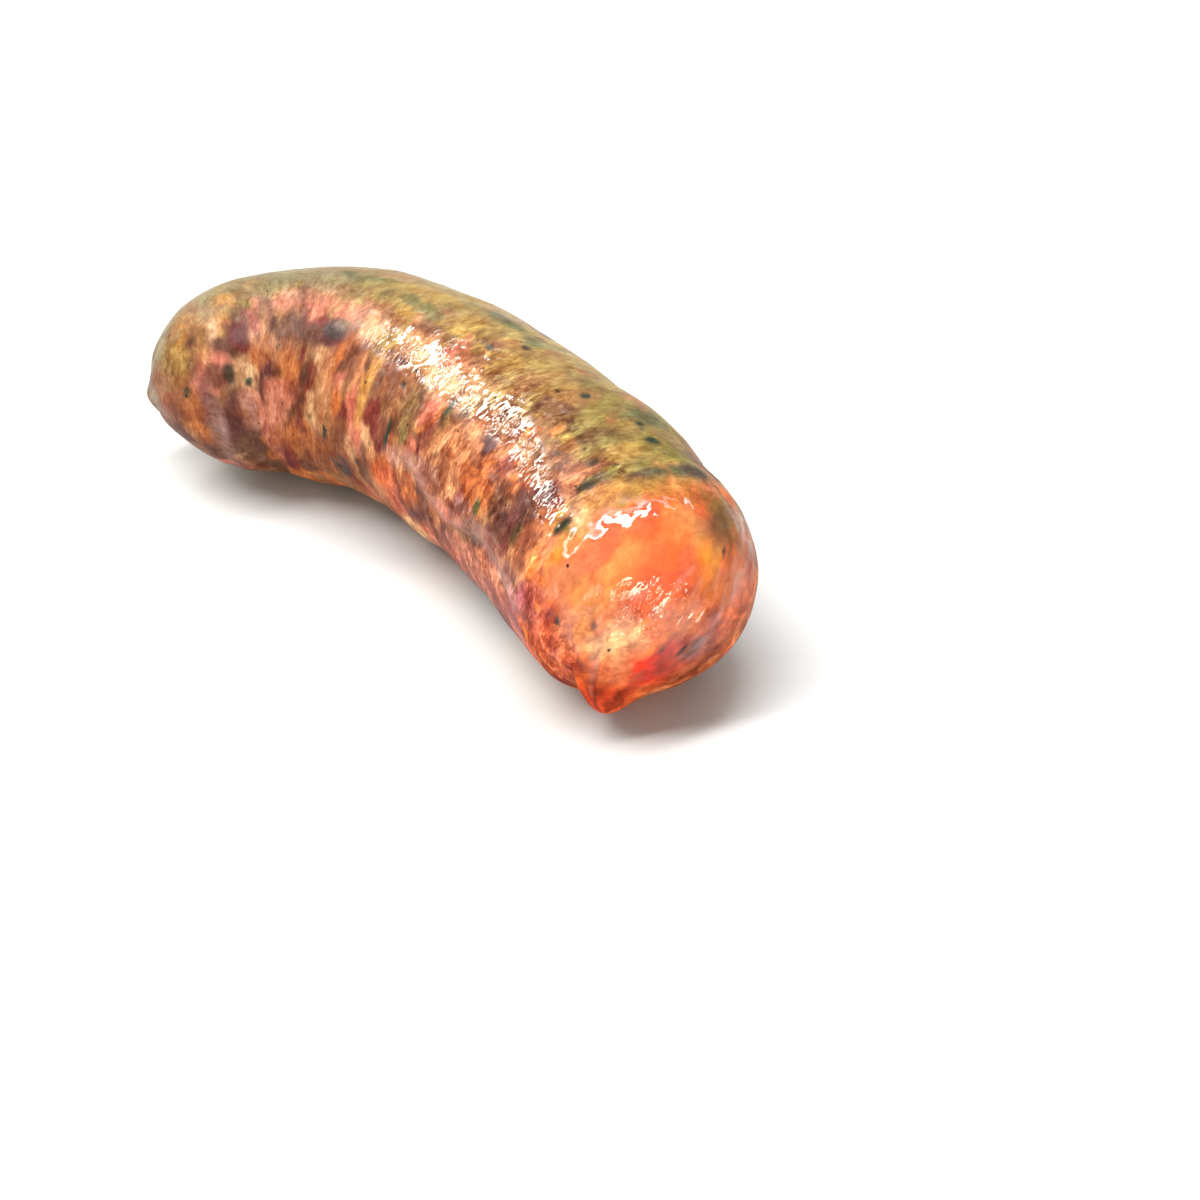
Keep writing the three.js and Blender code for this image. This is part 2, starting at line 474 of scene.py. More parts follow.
@dataclass(frozen=True)
class LinkForm:
    """The link's whole form: a tube on a bent middle line, tapered and domed, lying on its side."""

    length: float = 126.0
    radius: float = 18.0
    pressed_flat: float = 1.2
    bend_back: float = 25.8
    bend_middle: float = 83.3
    bend_front: float = 370.0
    middle_heading: float = -5.45
    taper_back: float = 5.53
    taper_back_reach: float = 50.3
    taper_front: float = 0.74
    taper_front_reach: float = 41.3
    fillet: float = 1.6
    swell_fade: float = 12.0
    line_steps: int = 2000

    @property
    def line_ends(self) -> tuple[float, float]:
        """Where the bent stretch of the middle line starts and stops."""
        return BACK_END.length, self.length - FRONT_END.length

    def taper(self, along: Array) -> Array:
        """The body's radius, without its domed ends.

        Args:
            along: Distances from the back tip.

        Returns:
            One radius for each distance.
        """
        back = np.clip(1.0 - along / self.taper_back_reach, 0.0, 1.0)
        front = np.clip(1.0 - (self.length - along) / self.taper_front_reach, 0.0, 1.0)
        return self.radius - self.taper_back * back**2 - self.taper_front * front**2

    def radius_at(self, along: Array) -> Array:
        """The radius without relief, with domes and nubs.

        Args:
            along: Distances from the back tip.

        Returns:
            One radius for each distance, 0 at both tips.
        """
        from_front = self.length - along
        body = self.taper(along) * BACK_END.dome_share(along) * FRONT_END.dome_share(from_front)
        at_back = along < self.length / 2.0
        nub = np.where(at_back, BACK_END.nub_profile(along), FRONT_END.nub_profile(from_front))
        base = np.where(
            at_back,
            smooth_step(along, 0.0, BACK_END.nub_length),
            smooth_step(from_front, 0.0, FRONT_END.nub_length),
        )
        rounded = filleted_max(body, nub, self.fillet * base)
        return np.where(np.minimum(along, from_front) <= 0.0, 0.0, rounded)

    def relief(self, along: Array, around: Array) -> Array:
        """The main forms that stand out of the plain radius, or sink into it.

        Args:
            along: Distances from the back tip.
            around: Angles from the crest in radians, from -pi to pi.

        Returns:
            One height for each place, in millimetres outwards.
        """
        from_front = self.length - along
        fade = smooth_step(np.minimum(along, from_front), 0.0, self.swell_fade)
        swells = fade * sum(swell.height(along, around) for swell in SWELLS)
        pleats = BACK_PLEATS.height(along, around) + FRONT_PLEATS.height(from_front, around)
        fold = FOLD.height * FOLD.cover(along, around, FOLD.half_width)
        return swells + pleats + fold + CREASE.height(along, around)

    def heading(self, along: Array) -> Array:
        """Which way the middle line runs in plan.

        Args:
            along: Distances from the back tip.

        Returns:
            One angle for each distance, in radians from +X.
        """
        start, stop = self.line_ends
        half = (stop - start) / 2.0
        place = (np.clip(along, start, stop) - (start + stop) / 2.0) / half
        back, middle, front = (-1.0 / r for r in (self.bend_back, self.bend_middle, self.bend_front))
        slope = (front - back) / 2.0
        hollow = (front + back) / 2.0 - middle
        bend = middle * place + slope * place**2 / 2.0 + hollow * place**3 / 3.0
        return math.radians(self.middle_heading) + half * bend

    def middle_points(self, along: Array) -> Array:
        """Points on the middle line, counted from the middle of its bent stretch.

        Args:
            along: Distances from the back tip.

        Returns:
            Points as rows of three, at the height of the middle line.
        """
        start, stop = self.line_ends
        steps = np.linspace(start, stop, self.line_steps + 1)
        between = (steps[1:] + steps[:-1]) / 2.0
        step = (stop - start) / self.line_steps
        run = np.stack([np.cos(self.heading(between)), np.sin(self.heading(between))]) * step
        run = np.concatenate([np.zeros((2, 1)), np.cumsum(run, axis=1)], axis=1)
        run -= run[:, [self.line_steps // 2]]
        clipped = np.clip(along, start, stop)
        x, y = (np.interp(clipped, steps, row) for row in run)
        return np.stack([x, y, np.full_like(x, self.radius - self.pressed_flat)], axis=1)

    def surface(self, along: Array, around: Array, radius: Array) -> Array:
        """Places points on the bent link.

        Args:
            along: Distances from the back tip.
            around: Angles from the crest in radians.
            radius: Distances from the middle line.

        Returns:
            Points as rows of three, with none under the resting surface.
        """
        heading = self.heading(along)
        zero = np.zeros_like(heading)
        forwards = np.stack([np.cos(heading), np.sin(heading), zero], axis=1)
        hollow_side = np.stack([np.sin(heading), -np.cos(heading), zero], axis=1)
        start, stop = self.line_ends
        beyond = along - np.clip(along, start, stop)
        offset = forwards * beyond[:, None]
        offset += hollow_side * (radius * np.sin(around))[:, None]
        offset[:, 2] += radius * np.cos(around)
        for end, chosen, from_tip, way in (
            (BACK_END, along < start, along, -1.0),
            (FRONT_END, along > stop, self.length - along, 1.0),
        ):
            outwards = way * forwards[chosen][0]
            offset[chosen] = end.leaned(offset[chosen], from_tip[chosen], outwards)
        points = self.middle_points(along) + offset
        points[:, 2] = np.maximum(points[:, 2], 0.0)
        return points


@dataclass(frozen=True)
class Patch:
    """A patch of one colour in the filling, an uneven oval seen through the casing."""

    tint: Tint
    along: float
    around: float
    half_along: float
    half_around: float
    cover: float = 0.85
    softness: float = 0.55
    raggedness: float = 0.55

    def weight(self, along: Array, around: Array, radius: Array, wander: Array) -> Array:
        """How strongly the patch colours each place.

        Args:
            along: Distances from the back tip.
            around: Angles from the crest in radians.
            radius: Distances from the middle line.
            wander: Noise that makes the edge uneven, from about -1 to 1.

        Returns:
            One share for each place, from 0 to the patch's cover.
        """
        angle = around - math.radians(self.around)
        angle = (angle + math.pi) % (2.0 * math.pi) - math.pi
        distance = np.hypot((along - self.along) / self.half_along, angle * radius / self.half_around)
        edge = distance + self.raggedness * wander
        return self.cover * (1.0 - smooth_step(edge, 1.0 - self.softness, 1.0 + self.softness))


@dataclass(frozen=True)
class Fleck(Patch):
    """A crumb of herb or pepper, small, dark and crisp."""

    cover: float = 0.95
    softness: float = 0.3
    raggedness: float = 0.25


# Patches of colour: along and around, then half their size both ways in millimetres, and cover
BACK_PATCHES = (
    Patch(Tint.ASH, 3.2, 40.0, 2.2, 7.0, 0.7),
    Patch(Tint.ASH, 6.0, -14.0, 2.4, 6.0, 0.85),
    Patch(Tint.OCHRE, 8.6, 38.0, 1.8, 3.4, 0.85),
    Patch(Tint.AMBER, 10.2, 18.0, 2.4, 3.6, 0.95),
    Patch(Tint.STRAW, 16.0, 9.0, 1.6, 5.6, 1.0, 0.35),
    Patch(Tint.STRAW, 20.5, -4.0, 2.4, 2.4, 0.95),
    Patch(Tint.STRAW, 12.6, 33.0, 1.2, 3.4, 0.6),
    Patch(Tint.GREY_GREEN, 25.0, -5.0, 4.5, 2.0, 0.75),
    Patch(Tint.ASH, 32.0, -1.0, 6.0, 2.4, 0.8),
    Patch(Tint.PINK, 21.0, 16.0, 1.4, 1.6, 0.9),
    Patch(Tint.PURPLE, 23.8, 22.0, 1.8, 2.2, 0.75),
    Patch(Tint.PURPLE, 18.2, 25.0, 1.2, 2.6, 0.6),
    Patch(Tint.CRIMSON, 17.8, 38.0, 1.5, 2.8, 0.95, 0.4),
    Patch(Tint.PEACH, 22.8, 40.0, 1.1, 4.0, 0.8),
    Patch(Tint.HERB, 15.8, 59.0, 0.9, 2.3, 0.9, 0.4),
    Patch(Tint.BROWN, 14.0, 60.0, 1.4, 2.0, 0.75),
    Fleck(Tint.HERB, 18.4, 64.5, 0.6, 0.8),
    Patch(Tint.CRIMSON, 20.2, 63.0, 0.9, 1.1, 0.7),
    Fleck(Tint.HERB, 9.7, 68.0, 0.6, 0.9),
    Patch(Tint.CRIMSON, 12.2, 79.0, 1.1, 3.6, 0.8, 0.4),
    Patch(Tint.PURPLE, 15.6, 86.0, 1.4, 5.0, 0.8, 0.4),
    Patch(Tint.LILAC, 13.9, 93.0, 0.6, 5.0, 0.7),
    Patch(Tint.ORANGE, 10.2, 95.0, 1.8, 4.6, 0.85),
    Patch(Tint.BROWN, 17.0, 104.0, 3.0, 3.4, 0.9),
)

NEAR_PATCHES = (
    # Partly painted highlight: the pale pink glow where the wet band's highlight begins along the crest,
    # over pink filling.
    Patch(Tint.PINK, 27.0, 18.0, 3.0, 2.6, 0.9),
    Patch(Tint.PINK, 34.0, 20.0, 4.2, 2.8, 0.9),
    Patch(Tint.PINK, 40.5, 22.0, 3.0, 2.2, 0.85),
    # Painted highlight: cream and tan glow under the wet band, where its highlight spreads warm between
    # the strokes.
    Patch(Tint.CREAM, 59.0, 26.0, 6.0, 2.8, 0.6),
    Patch(Tint.CREAM, 73.0, 28.0, 7.0, 3.0, 0.6),
    Patch(Tint.TAN, 84.0, 27.0, 4.0, 3.0, 0.6),
    Patch(Tint.CREAM, 47.0, 27.0, 2.4, 1.8, 0.7),
    Patch(Tint.BROWN, 29.0, 35.0, 3.8, 2.6, 0.85, 0.4),
    Patch(Tint.BROWN, 35.0, 38.0, 3.2, 1.8, 0.8, 0.4),
    Patch(Tint.SLATE, 39.4, 34.0, 2.2, 1.9, 0.75, 0.4),
    Patch(Tint.CRIMSON, 33.5, 49.0, 0.9, 1.6, 0.9, 0.4),
    Patch(Tint.ORANGE, 22.5, 48.0, 2.6, 2.6, 0.6),
    Patch(Tint.ORANGE, 30.0, 58.0, 3.2, 3.2, 0.7),
    Patch(Tint.PINK, 19.0, 79.0, 1.8, 3.0, 0.8),
    Patch(Tint.LILAC, 18.2, 82.0, 1.0, 2.6, 0.5),
    Patch(Tint.SALMON, 26.5, 72.0, 4.4, 2.6, 0.9),
    Patch(Tint.PINK, 25.5, 81.0, 4.4, 3.6, 0.95),
    Patch(Tint.RUST, 39.5, 68.0, 3.2, 6.0, 0.65),
    Patch(Tint.TAN, 58.5, 52.0, 5.0, 5.5, 0.65),
    Patch(Tint.CRIMSON, 37.0, 64.0, 1.7, 4.2, 0.85, 0.4),
    Patch(Tint.CREAM, 38.5, 76.0, 1.8, 3.0, 0.7),
    Patch(Tint.PEACH, 42.0, 60.0, 1.1, 4.5, 0.75),
    Fleck(Tint.HERB, 42.5, 85.5, 0.5, 1.3),
    Patch(Tint.CRIMSON, 48.0, 71.0, 1.1, 1.6, 0.85, 0.4),
    Patch(Tint.STRAW, 52.6, 55.0, 1.2, 5.6, 0.85),
    Patch(Tint.BROWN, 47.5, 52.0, 1.0, 4.2, 0.7),
    Patch(Tint.CRIMSON, 56.6, 66.0, 1.8, 2.6, 0.95, 0.4),
    Patch(Tint.PURPLE, 57.0, 47.0, 3.0, 2.8, 0.25),
    Fleck(Tint.HERB, 61.4, 70.0, 0.6, 2.9),
    Fleck(Tint.MOSS, 65.5, 65.0, 0.9, 1.4),
    Fleck(Tint.HERB, 60.6, 45.0, 0.5, 0.6),
    Fleck(Tint.HERB, 61.0, 36.0, 0.3, 0.4),
    Patch(Tint.KHAKI, 65.0, 58.0, 2.6, 4.0, 0.6),
    Patch(Tint.BROWN, 66.3, 49.0, 1.1, 4.0, 0.7),
    Fleck(Tint.HERB, 73.2, 43.0, 0.6, 2.2),
    Patch(Tint.OLIVE, 74.2, 50.0, 0.9, 2.4, 0.6),
    Patch(Tint.BROWN, 77.0, 46.0, 0.9, 4.6, 0.6),
    Patch(Tint.PEACH, 81.0, 46.0, 2.6, 4.4, 0.95, 0.4),
    Patch(Tint.PEACH, 75.5, 60.0, 3.2, 3.0, 0.8),
    Patch(Tint.BROWN, 17.5, 114.0, 5.0, 4.0, 0.85),
    Patch(Tint.ORANGE, 33.0, 96.0, 7.0, 2.8, 0.85),
    Patch(Tint.RUST, 38.0, 106.0, 6.0, 3.0, 0.7),
    Patch(Tint.CRIMSON, 28.0, 108.0, 2.2, 2.6, 0.75),
    Patch(Tint.CREAM, 50.5, 88.0, 2.0, 2.6, 0.7),
    Patch(Tint.SLATE, 46.5, 104.0, 2.6, 2.2, 0.85),
    Patch(Tint.BROWN, 54.0, 101.0, 2.4, 3.0, 0.8),
    Patch(Tint.FLAME, 61.0, 94.0, 4.2, 2.6, 0.6),
    Patch(Tint.ORANGE, 69.5, 91.0, 4.0, 2.6, 0.9),
    Patch(Tint.LILAC, 64.5, 78.0, 3.4, 1.6, 0.6),
    Patch(Tint.LILAC, 75.0, 72.0, 4.0, 1.4, 0.6),
    Patch(Tint.LILAC, 86.5, 73.0, 4.0, 1.4, 0.6),
    Patch(Tint.BROWN, 78.0, 97.0, 6.0, 2.2, 0.6),
    Patch(Tint.ORANGE, 88.2, 54.0, 1.8, 3.4, 0.9),
    Patch(Tint.CRIMSON, 90.8, 48.0, 1.4, 3.0, 0.65),
    Patch(Tint.ORANGE, 91.2, 62.0, 1.6, 2.4, 0.7),
    Fleck(Tint.MOSS, 90.0, 66.5, 0.7, 1.3),
    Patch(Tint.BROWN, 94.2, 55.0, 1.6, 3.4, 0.8),
    Patch(Tint.PURPLE, 99.0, 49.0, 3.6, 4.6, 0.85, 0.4),
    Patch(Tint.CRIMSON, 99.6, 70.0, 1.2, 2.4, 0.8),
    Patch(Tint.MOSS, 101.2, 60.0, 1.0, 1.8, 0.6),
    Patch(Tint.RUST, 104.6, 57.0, 1.8, 3.4, 0.8),
    Patch(Tint.PINK, 108.8, 52.0, 1.2, 2.4, 0.8),
    Patch(Tint.LILAC, 99.5, 81.0, 5.5, 1.5, 0.7),
    # The pink and salmon patches from here to the mauve one are partly painted light: warm bounce
    # brightening the low hollow side, over the filling's own salmon colour.
    Patch(Tint.PINK, 90.0, 96.0, 6.0, 2.8, 0.4),
    Patch(Tint.SALMON, 86.0, 106.0, 14.0, 4.0, 0.5),
    Patch(Tint.PINK, 97.0, 90.0, 6.0, 2.6, 0.7),
    Patch(Tint.PLUM, 101.0, 97.0, 6.0, 2.4, 0.4),
    Patch(Tint.SALMON, 104.0, 108.0, 8.0, 3.0, 0.5),
    Patch(Tint.MAUVE, 107.0, 92.0, 3.0, 3.0, 0.6),
)

FAR_PATCHES = (
    Patch(Tint.SAGE, 38.0, -13.0, 28.0, 8.0, 0.75, 0.6),
    Patch(Tint.SAGE, 20.0, -25.0, 12.0, 7.0, 0.55, 0.6),
    Patch(Tint.KHAKI, 82.0, -12.0, 28.0, 9.0, 0.65, 0.4),
    Patch(Tint.OLIVE, 97.0, -16.0, 12.0, 9.0, 0.6, 0.4),
    Patch(Tint.GREY_GREEN, 40.0, -6.0, 5.0, 1.6, 0.6),
    Patch(Tint.KHAKI, 44.0, 3.0, 5.0, 3.0, 0.7),
    Patch(Tint.OCHRE, 50.0, -9.0, 5.5, 1.6, 0.6),
    Patch(Tint.GREY_GREEN, 52.0, 4.0, 6.0, 1.8, 0.65),
    Patch(Tint.PURPLE, 58.5, 14.0, 5.0, 1.5, 0.6),
    Patch(Tint.OCHRE, 61.0, 2.0, 4.0, 2.4, 0.7),
    Patch(Tint.GREY_GREEN, 62.5, -20.0, 5.5, 1.4, 0.75),
    Patch(Tint.PURPLE, 68.5, 1.0, 4.0, 1.5, 0.5),
    Patch(Tint.GREY_GREEN, 69.0, -18.0, 3.0, 2.2, 0.7),
    Fleck(Tint.HERB, 68.0, 5.0, 0.8, 0.7),
    Fleck(Tint.SLATE, 70.8, -9.5, 0.8, 0.8),
    Fleck(Tint.MOSS, 73.4, -4.5, 0.8, 0.5),
    Patch(Tint.KHAKI, 76.0, -4.0, 4.5, 5.0, 0.8),
    Patch(Tint.OCHRE, 72.0, 7.0, 3.0, 2.4, 0.7),
    Patch(Tint.TAN, 80.0, 8.0, 2.4, 3.0, 0.7),
    Patch(Tint.TAN, 87.0, -2.0, 2.6, 3.4, 0.6),
    Fleck(Tint.PEPPER, 84.6, 1.0, 0.36, 0.36),
    Fleck(Tint.HERB, 87.4, -8.0, 0.7, 0.8),
    Patch(Tint.OLIVE, 82.0, -19.0, 2.6, 3.4, 0.6),
    Patch(Tint.PURPLE, 89.0, 9.0, 2.6, 3.4, 0.5),
    Patch(Tint.GREY_GREEN, 93.5, -25.0, 2.4, 3.4, 0.75),
    Fleck(Tint.HERB, 95.8, -20.5, 0.7, 0.8),
    Fleck(Tint.HERB, 100.0, -20.5, 1.0, 1.2),
    Patch(Tint.PURPLE, 96.8, 3.0, 1.6, 2.8, 0.45),
    Fleck(Tint.SLATE, 95.0, 20.0, 0.9, 0.9),
    Fleck(Tint.PEPPER, 99.0, 12.0, 0.3, 0.3),
    Fleck(Tint.HERB, 102.0, 12.0, 0.6, 0.7),
    Fleck(Tint.PEPPER, 103.0, 2.0, 0.4, 0.4),
    Fleck(Tint.PEPPER, 104.0, 6.0, 0.35, 0.55),
    Fleck(Tint.PEPPER, 101.2, -1.0, 0.3, 0.3),
    Patch(Tint.TAN, 97.0, 26.0, 3.0, 3.0, 0.75),
    Patch(Tint.OCHRE, 102.0, -2.0, 1.8, 3.4, 0.8),
    Patch(Tint.OLIVE, 102.5, -24.0, 2.2, 3.0, 0.7),
    Patch(Tint.HERB, 105.0, 21.5, 0.9, 1.7, 0.85, 0.3),
    Patch(Tint.OLIVE, 104.6, 12.0, 1.0, 2.6, 0.7),
    Patch(Tint.SLATE, 107.3, -2.5, 0.9, 3.0, 0.8),
    Patch(Tint.SLATE, 106.6, -28.0, 1.3, 3.4, 0.85),
    Patch(Tint.GREY_GREEN, 107.0, -14.0, 0.9, 2.4, 0.7),
)

DOME_PATCHES = (
    Patch(Tint.CORAL, 118.0, 5.0, 8.0, 24.0, 0.15, 0.35),
    Patch(Tint.CREAM, 108.6, 29.0, 2.2, 3.8, 0.95, 0.4),
    Patch(Tint.STRAW, 108.2, 17.0, 1.5, 3.2, 0.9),
    Patch(Tint.OCHRE, 109.4, -3.0, 1.3, 4.6, 0.8),
    Patch(Tint.ORANGE, 110.6, -16.0, 1.4, 4.0, 0.7),
    Fleck(Tint.HERB, 108.2, 40.5, 0.7, 1.7),
    Patch(Tint.CORAL, 112.6, 4.0, 1.7, 4.6, 0.85),
    Patch(Tint.PINK, 113.4, 15.0, 1.5, 2.6, 0.7),
    Patch(Tint.FLAME, 114.8, 10.0, 2.0, 3.6, 0.7),
    Patch(Tint.YELLOW, 115.2, -30.0, 1.7, 3.0, 0.95),
    Patch(Tint.APRICOT, 113.0, -18.0, 1.8, 3.6, 0.8),
    Patch(Tint.CORAL, 116.4, -13.0, 1.6, 3.4, 0.75),
    Patch(Tint.TAN, 112.6, -36.0, 2.2, 4.6, 0.85),
    Patch(Tint.BROWN, 112.6, -34.0, 1.0, 2.4, 0.7),
    Patch(Tint.OLIVE, 111.0, -46.0, 1.6, 4.6, 0.6),
    Patch(Tint.BROWN, 114.0, -49.0, 1.2, 2.4, 0.7),
    Patch(Tint.TAN, 112.0, -66.0, 3.4, 5.0, 0.7),
    Patch(Tint.FLAME, 116.4, -68.0, 2.4, 6.0, 0.75),
    Patch(Tint.ORANGE, 116.4, -48.0, 1.4, 3.0, 0.8),
    Patch(Tint.PINK, 113.6, 37.0, 1.8, 3.6, 0.75),
    Patch(Tint.APRICOT, 117.2, 42.0, 2.2, 4.0, 0.9),
    Patch(Tint.APRICOT, 115.8, 22.0, 1.6, 3.6, 0.8),
    Patch(Tint.PINK, 112.8, 57.0, 2.0, 3.0, 0.8),
    Patch(Tint.APRICOT, 118.8, 54.0, 1.6, 3.4, 0.9),
    Patch(Tint.YELLOW, 120.0, 50.0, 0.6, 1.0, 0.8),
    Patch(Tint.CORAL, 117.2, 3.0, 1.5, 4.0, 0.7),
    Patch(Tint.FAT, 120.3, 25.0, 1.0, 4.2, 0.95, 0.6),
    Patch(Tint.PINK, 118.6, 30.0, 1.2, 3.4, 0.6),
    Patch(Tint.PINK, 121.3, 3.0, 0.9, 2.6, 0.9),
    Patch(Tint.RED, 121.0, -43.0, 1.2, 3.6, 1.0, 0.4),
    Patch(Tint.RED, 122.2, -30.0, 0.8, 2.0, 0.9),
    Patch(Tint.SALMON, 119.6, -52.0, 0.8, 2.0, 0.8),
    Patch(Tint.PINK, 122.4, -2.0, 0.8, 3.0, 0.8),
    Patch(Tint.NUB_RED, 124.9, 0.0, 2.4, 12.0, 0.95),
    Patch(Tint.PLUM, 115.0, 73.0, 1.3, 2.2, 0.7),
    Patch(Tint.MAUVE, 110.4, 79.0, 2.6, 3.4, 0.95),
    Patch(Tint.MAUVE, 114.5, 93.0, 3.0, 2.6, 0.6),
    Patch(Tint.PINK, 118.6, 68.0, 1.8, 2.6, 0.85),
    Patch(Tint.SALMON, 117.0, 98.0, 4.0, 5.0, 0.7),
    Patch(Tint.PINK, 117.0, 62.0, 1.6, 2.4, 0.7),
    Patch(Tint.PLUM, 120.6, 84.0, 1.3, 4.5, 0.5),
    Patch(Tint.MAUVE, 117.6, 88.0, 1.0, 3.0, 0.6),
    Patch(Tint.CRIMSON, 121.2, 60.0, 0.9, 2.4, 0.6),
    Patch(Tint.PLUM, 119.4, -72.0, 1.6, 6.5, 0.8),
    Patch(Tint.PLUM, 119.2, -100.0, 2.4, 7.0, 0.6),
    Fleck(Tint.SLATE, 119.8, -51.0, 0.7, 1.2, 0.6),
    Fleck(Tint.PEPPER, 120.2, -42.0, 0.3, 0.3),
    Fleck(Tint.BROWN, 118.8, 40.0, 0.4, 0.7),
    Fleck(Tint.PEPPER, 119.0, -90.0, 0.4, 0.5),
    Fleck(Tint.PEPPER, 114.6, -38.0, 0.3, 0.35),
    Fleck(Tint.SLATE, 116.2, 68.0, 0.5, 0.7),
)


@dataclass
class MeatFilling:
    """The ground meat behind the casing: lumps of lean and fat, with patches placed one by one."""

    form: LinkForm
    seed: int = 41
    lumps: int = 900
    lump_wander: float = 1.5
    stretch_around: float = 0.78
    softness: float = 0.32
    lump_noise_size: float = 3.2
    wander_shape: Triple = (1.0, 0.6, 0.6)
    edge_noise_size: float = 2.2
    edge_seed: int = 50
    batch: int = 8000
    crest_change: Rise = Rise(2.0, 42.0)
    unseen_change: Rise = Rise(-115.0, -40.0)
    # The back end is darkened and cooled: partly painted shade, partly the back end's own greyer colour.
    back_change: Rise = Rise(14.0, 58.0)
    back_tint_and_painted_shade: Colour = (0.74, 0.82, 0.92)
    dome_shade: Colour = (0.84, 0.72, 0.51)
    dome_change: Rise = Rise(107.0, 111.0)
    # Painted light: brightens the colour low on the front's hollow side, which faces the floor and lies
    # in shade.
    painted_light_along: Lobe = Lobe(112.0, 18.0)
    painted_light_around: Lobe = Lobe(84.0, 42.0)
    low_front_painted_light: float = 0.8
    far_side: Lobe = Lobe(-115.0, 85.0)
    far_side_calm: float = 0.55
    far_side_mean: Colour = (0.46, 0.205, 0.1)
    nub_change: Rise = Rise(121.4, 123.4)
    nub_strands: int = 5
    nub_strand_contrast: float = 0.4
    taut_dome: Rise = Rise(104.0, 113.0)
    taut_edge: Rise = Rise(50.0, 75.0)
    taut_share: float = 0.72
    low_dome_change: Rise = Rise(116.0, 119.0)
    low_dome_loss: float = 0.34
    taut_back: Rise = Rise(50.0, 80.0)
    taut_back_share: float = 0.4
    taut_back_outer: float = 0.3
    outer_crest: Rise = Rise(-10.0, 15.0)
    outer_low: Rise = Rise(-95.0, -50.0)
    outer_share: float = 0.5
    smooth_nub: Rise = Rise(120.5, 122.5)
    smooth_nub_share: float = 0.6
    hollow_tints: TintShares = (
        (Tint.PEACH, 2.6), (Tint.SALMON, 2.0), (Tint.ORANGE, 2.2), (Tint.RUST, 4.5),
        (Tint.TAN, 5.0), (Tint.CREAM, 0.6), (Tint.BROWN, 3.0), (Tint.PURPLE, 1.6),
        (Tint.CRIMSON, 1.4),
    )
    outer_tints: TintShares = (
        (Tint.KHAKI, 6.0), (Tint.OCHRE, 3.5), (Tint.TAN, 5.0), (Tint.BROWN, 0.8), (Tint.OLIVE, 1.2),
        (Tint.PEACH, 1.0),
    )
    dome_start: float = 109.0
    dome_half_width: float = 62.0
    dome_tints: TintShares = (
        (Tint.FLAME, 3.5), (Tint.CORAL, 4.0), (Tint.APRICOT, 2.5), (Tint.YELLOW, 0.8),
        (Tint.PINK, 1.5), (Tint.ORANGE, 1.5), (Tint.RED, 0.6),
    )
    low_dome_tints: TintShares = (
        (Tint.ORANGE, 4.0), (Tint.FLAME, 3.0), (Tint.PLUM, 2.0), (Tint.SALMON, 1.0),
        (Tint.CORAL, 1.0), (Tint.CRIMSON, 0.8),
    )

    def lump_places(self, draw: np.random.Generator) -> tuple[Array, Array]:
        """Strews the lumps over the straightened link.

        Args:
            draw: The random generator.

        Returns:
            The lumps' places in the squeezed straight link, and their colours.
        """
        along = draw.uniform(0.0, self.form.length, self.lumps)
        around = draw.uniform(-math.pi, math.pi, self.lumps)
        radius = self.form.taper(along)
        places = self.squeezed(straightened(along, around, radius))
        degrees = np.degrees(around)
        outer_share = (1.0 - self.crest_change.share(degrees)) * self.unseen_change.share(degrees)
        outer = draw.random(self.lumps) < outer_share
        dome = along > self.dome_start
        low = np.abs(around) > math.radians(self.dome_half_width)
        colours = np.empty((self.lumps, 3))
        for chosen, tints in (
            (~outer & ~dome, self.hollow_tints),
            (outer & ~dome, self.outer_tints),
            (dome & ~low, self.dome_tints),
            (dome & low, self.low_dome_tints),
        ):
            values = np.array([tint.value for tint, _ in tints])
            shares = np.array([share for _, share in tints])
            picks = draw.choice(len(values), chosen.sum(), p=shares / shares.sum())
            colours[chosen] = values[picks]
        return places, colours

    def squeezed(self, places: Array) -> Array:
        """Squeezes the straight link round its axis, so that even lumps come out as streaks round it."""
        return places * np.array([1.0, self.stretch_around, self.stretch_around])

    def lump_colours(self, places: Array) -> Array:
        """Colours the surface by the nearest lumps, softly blended.

        Args:
            places: Points of the straight link as rows of three.

        Returns:
            One colour for each point.
        """
        draw = np.random.default_rng(self.seed)
        lumps, colours = self.lump_places(draw)
        noises = [SmoothNoise(self.seed + i) for i in range(3)]
        shift = np.stack([noise.layered(places / self.lump_noise_size, 3) for noise in noises], axis=1)
        points = self.squeezed(places) + self.lump_wander * shift * np.array(self.wander_shape)
        blended = np.empty((len(points), 3))
        for start in range(0, len(points), self.batch):
            part = points[start : start + self.batch]
            distance = np.linalg.norm(part[:, None] - lumps[None], axis=2)
            nearest = distance.min(axis=1, keepdims=True)
            weight = np.exp((nearest - distance) / self.softness)
            weight /= weight.sum(axis=1, keepdims=True)
            blended[start : start + self.batch] = weight @ colours
        return blended

    def tints(self, along: Array, around: Array, radius: Array) -> Array:
        """Works out the filling's colour at each place of the surface; it darkens the back end with
        painted shade and brightens the low front of the hollow side with painted light.

        Args:
            along: Distances from the back tip.
            around: Angles from the crest in radians.
            radius: Distances from the middle line.

        Returns:
            One colour for each place.
        """
        places = straightened(along, around, radius)
        colours = self.lump_colours(places)
        degrees = np.degrees(around)
        wander = SmoothNoise(self.edge_seed).layered(places / self.edge_noise_size, 4)
        for patch in BACK_PATCHES + NEAR_PATCHES + FAR_PATCHES + DOME_PATCHES:
            weight = patch.weight(along, around, radius, wander)[:, None]
            colours += (np.array(patch.tint.value) - colours) * weight
        far_side = self.far_side_calm * self.far_side.share(degrees)[:, None]
        colours += (np.array(self.far_side_mean) - colours) * far_side
        # Painted shade, with some real greying: darker and cooler towards the back end.
        back = np.array(self.back_tint_and_painted_shade)
        shade = back + (1.0 - back) * self.back_change.share(along)[:, None]
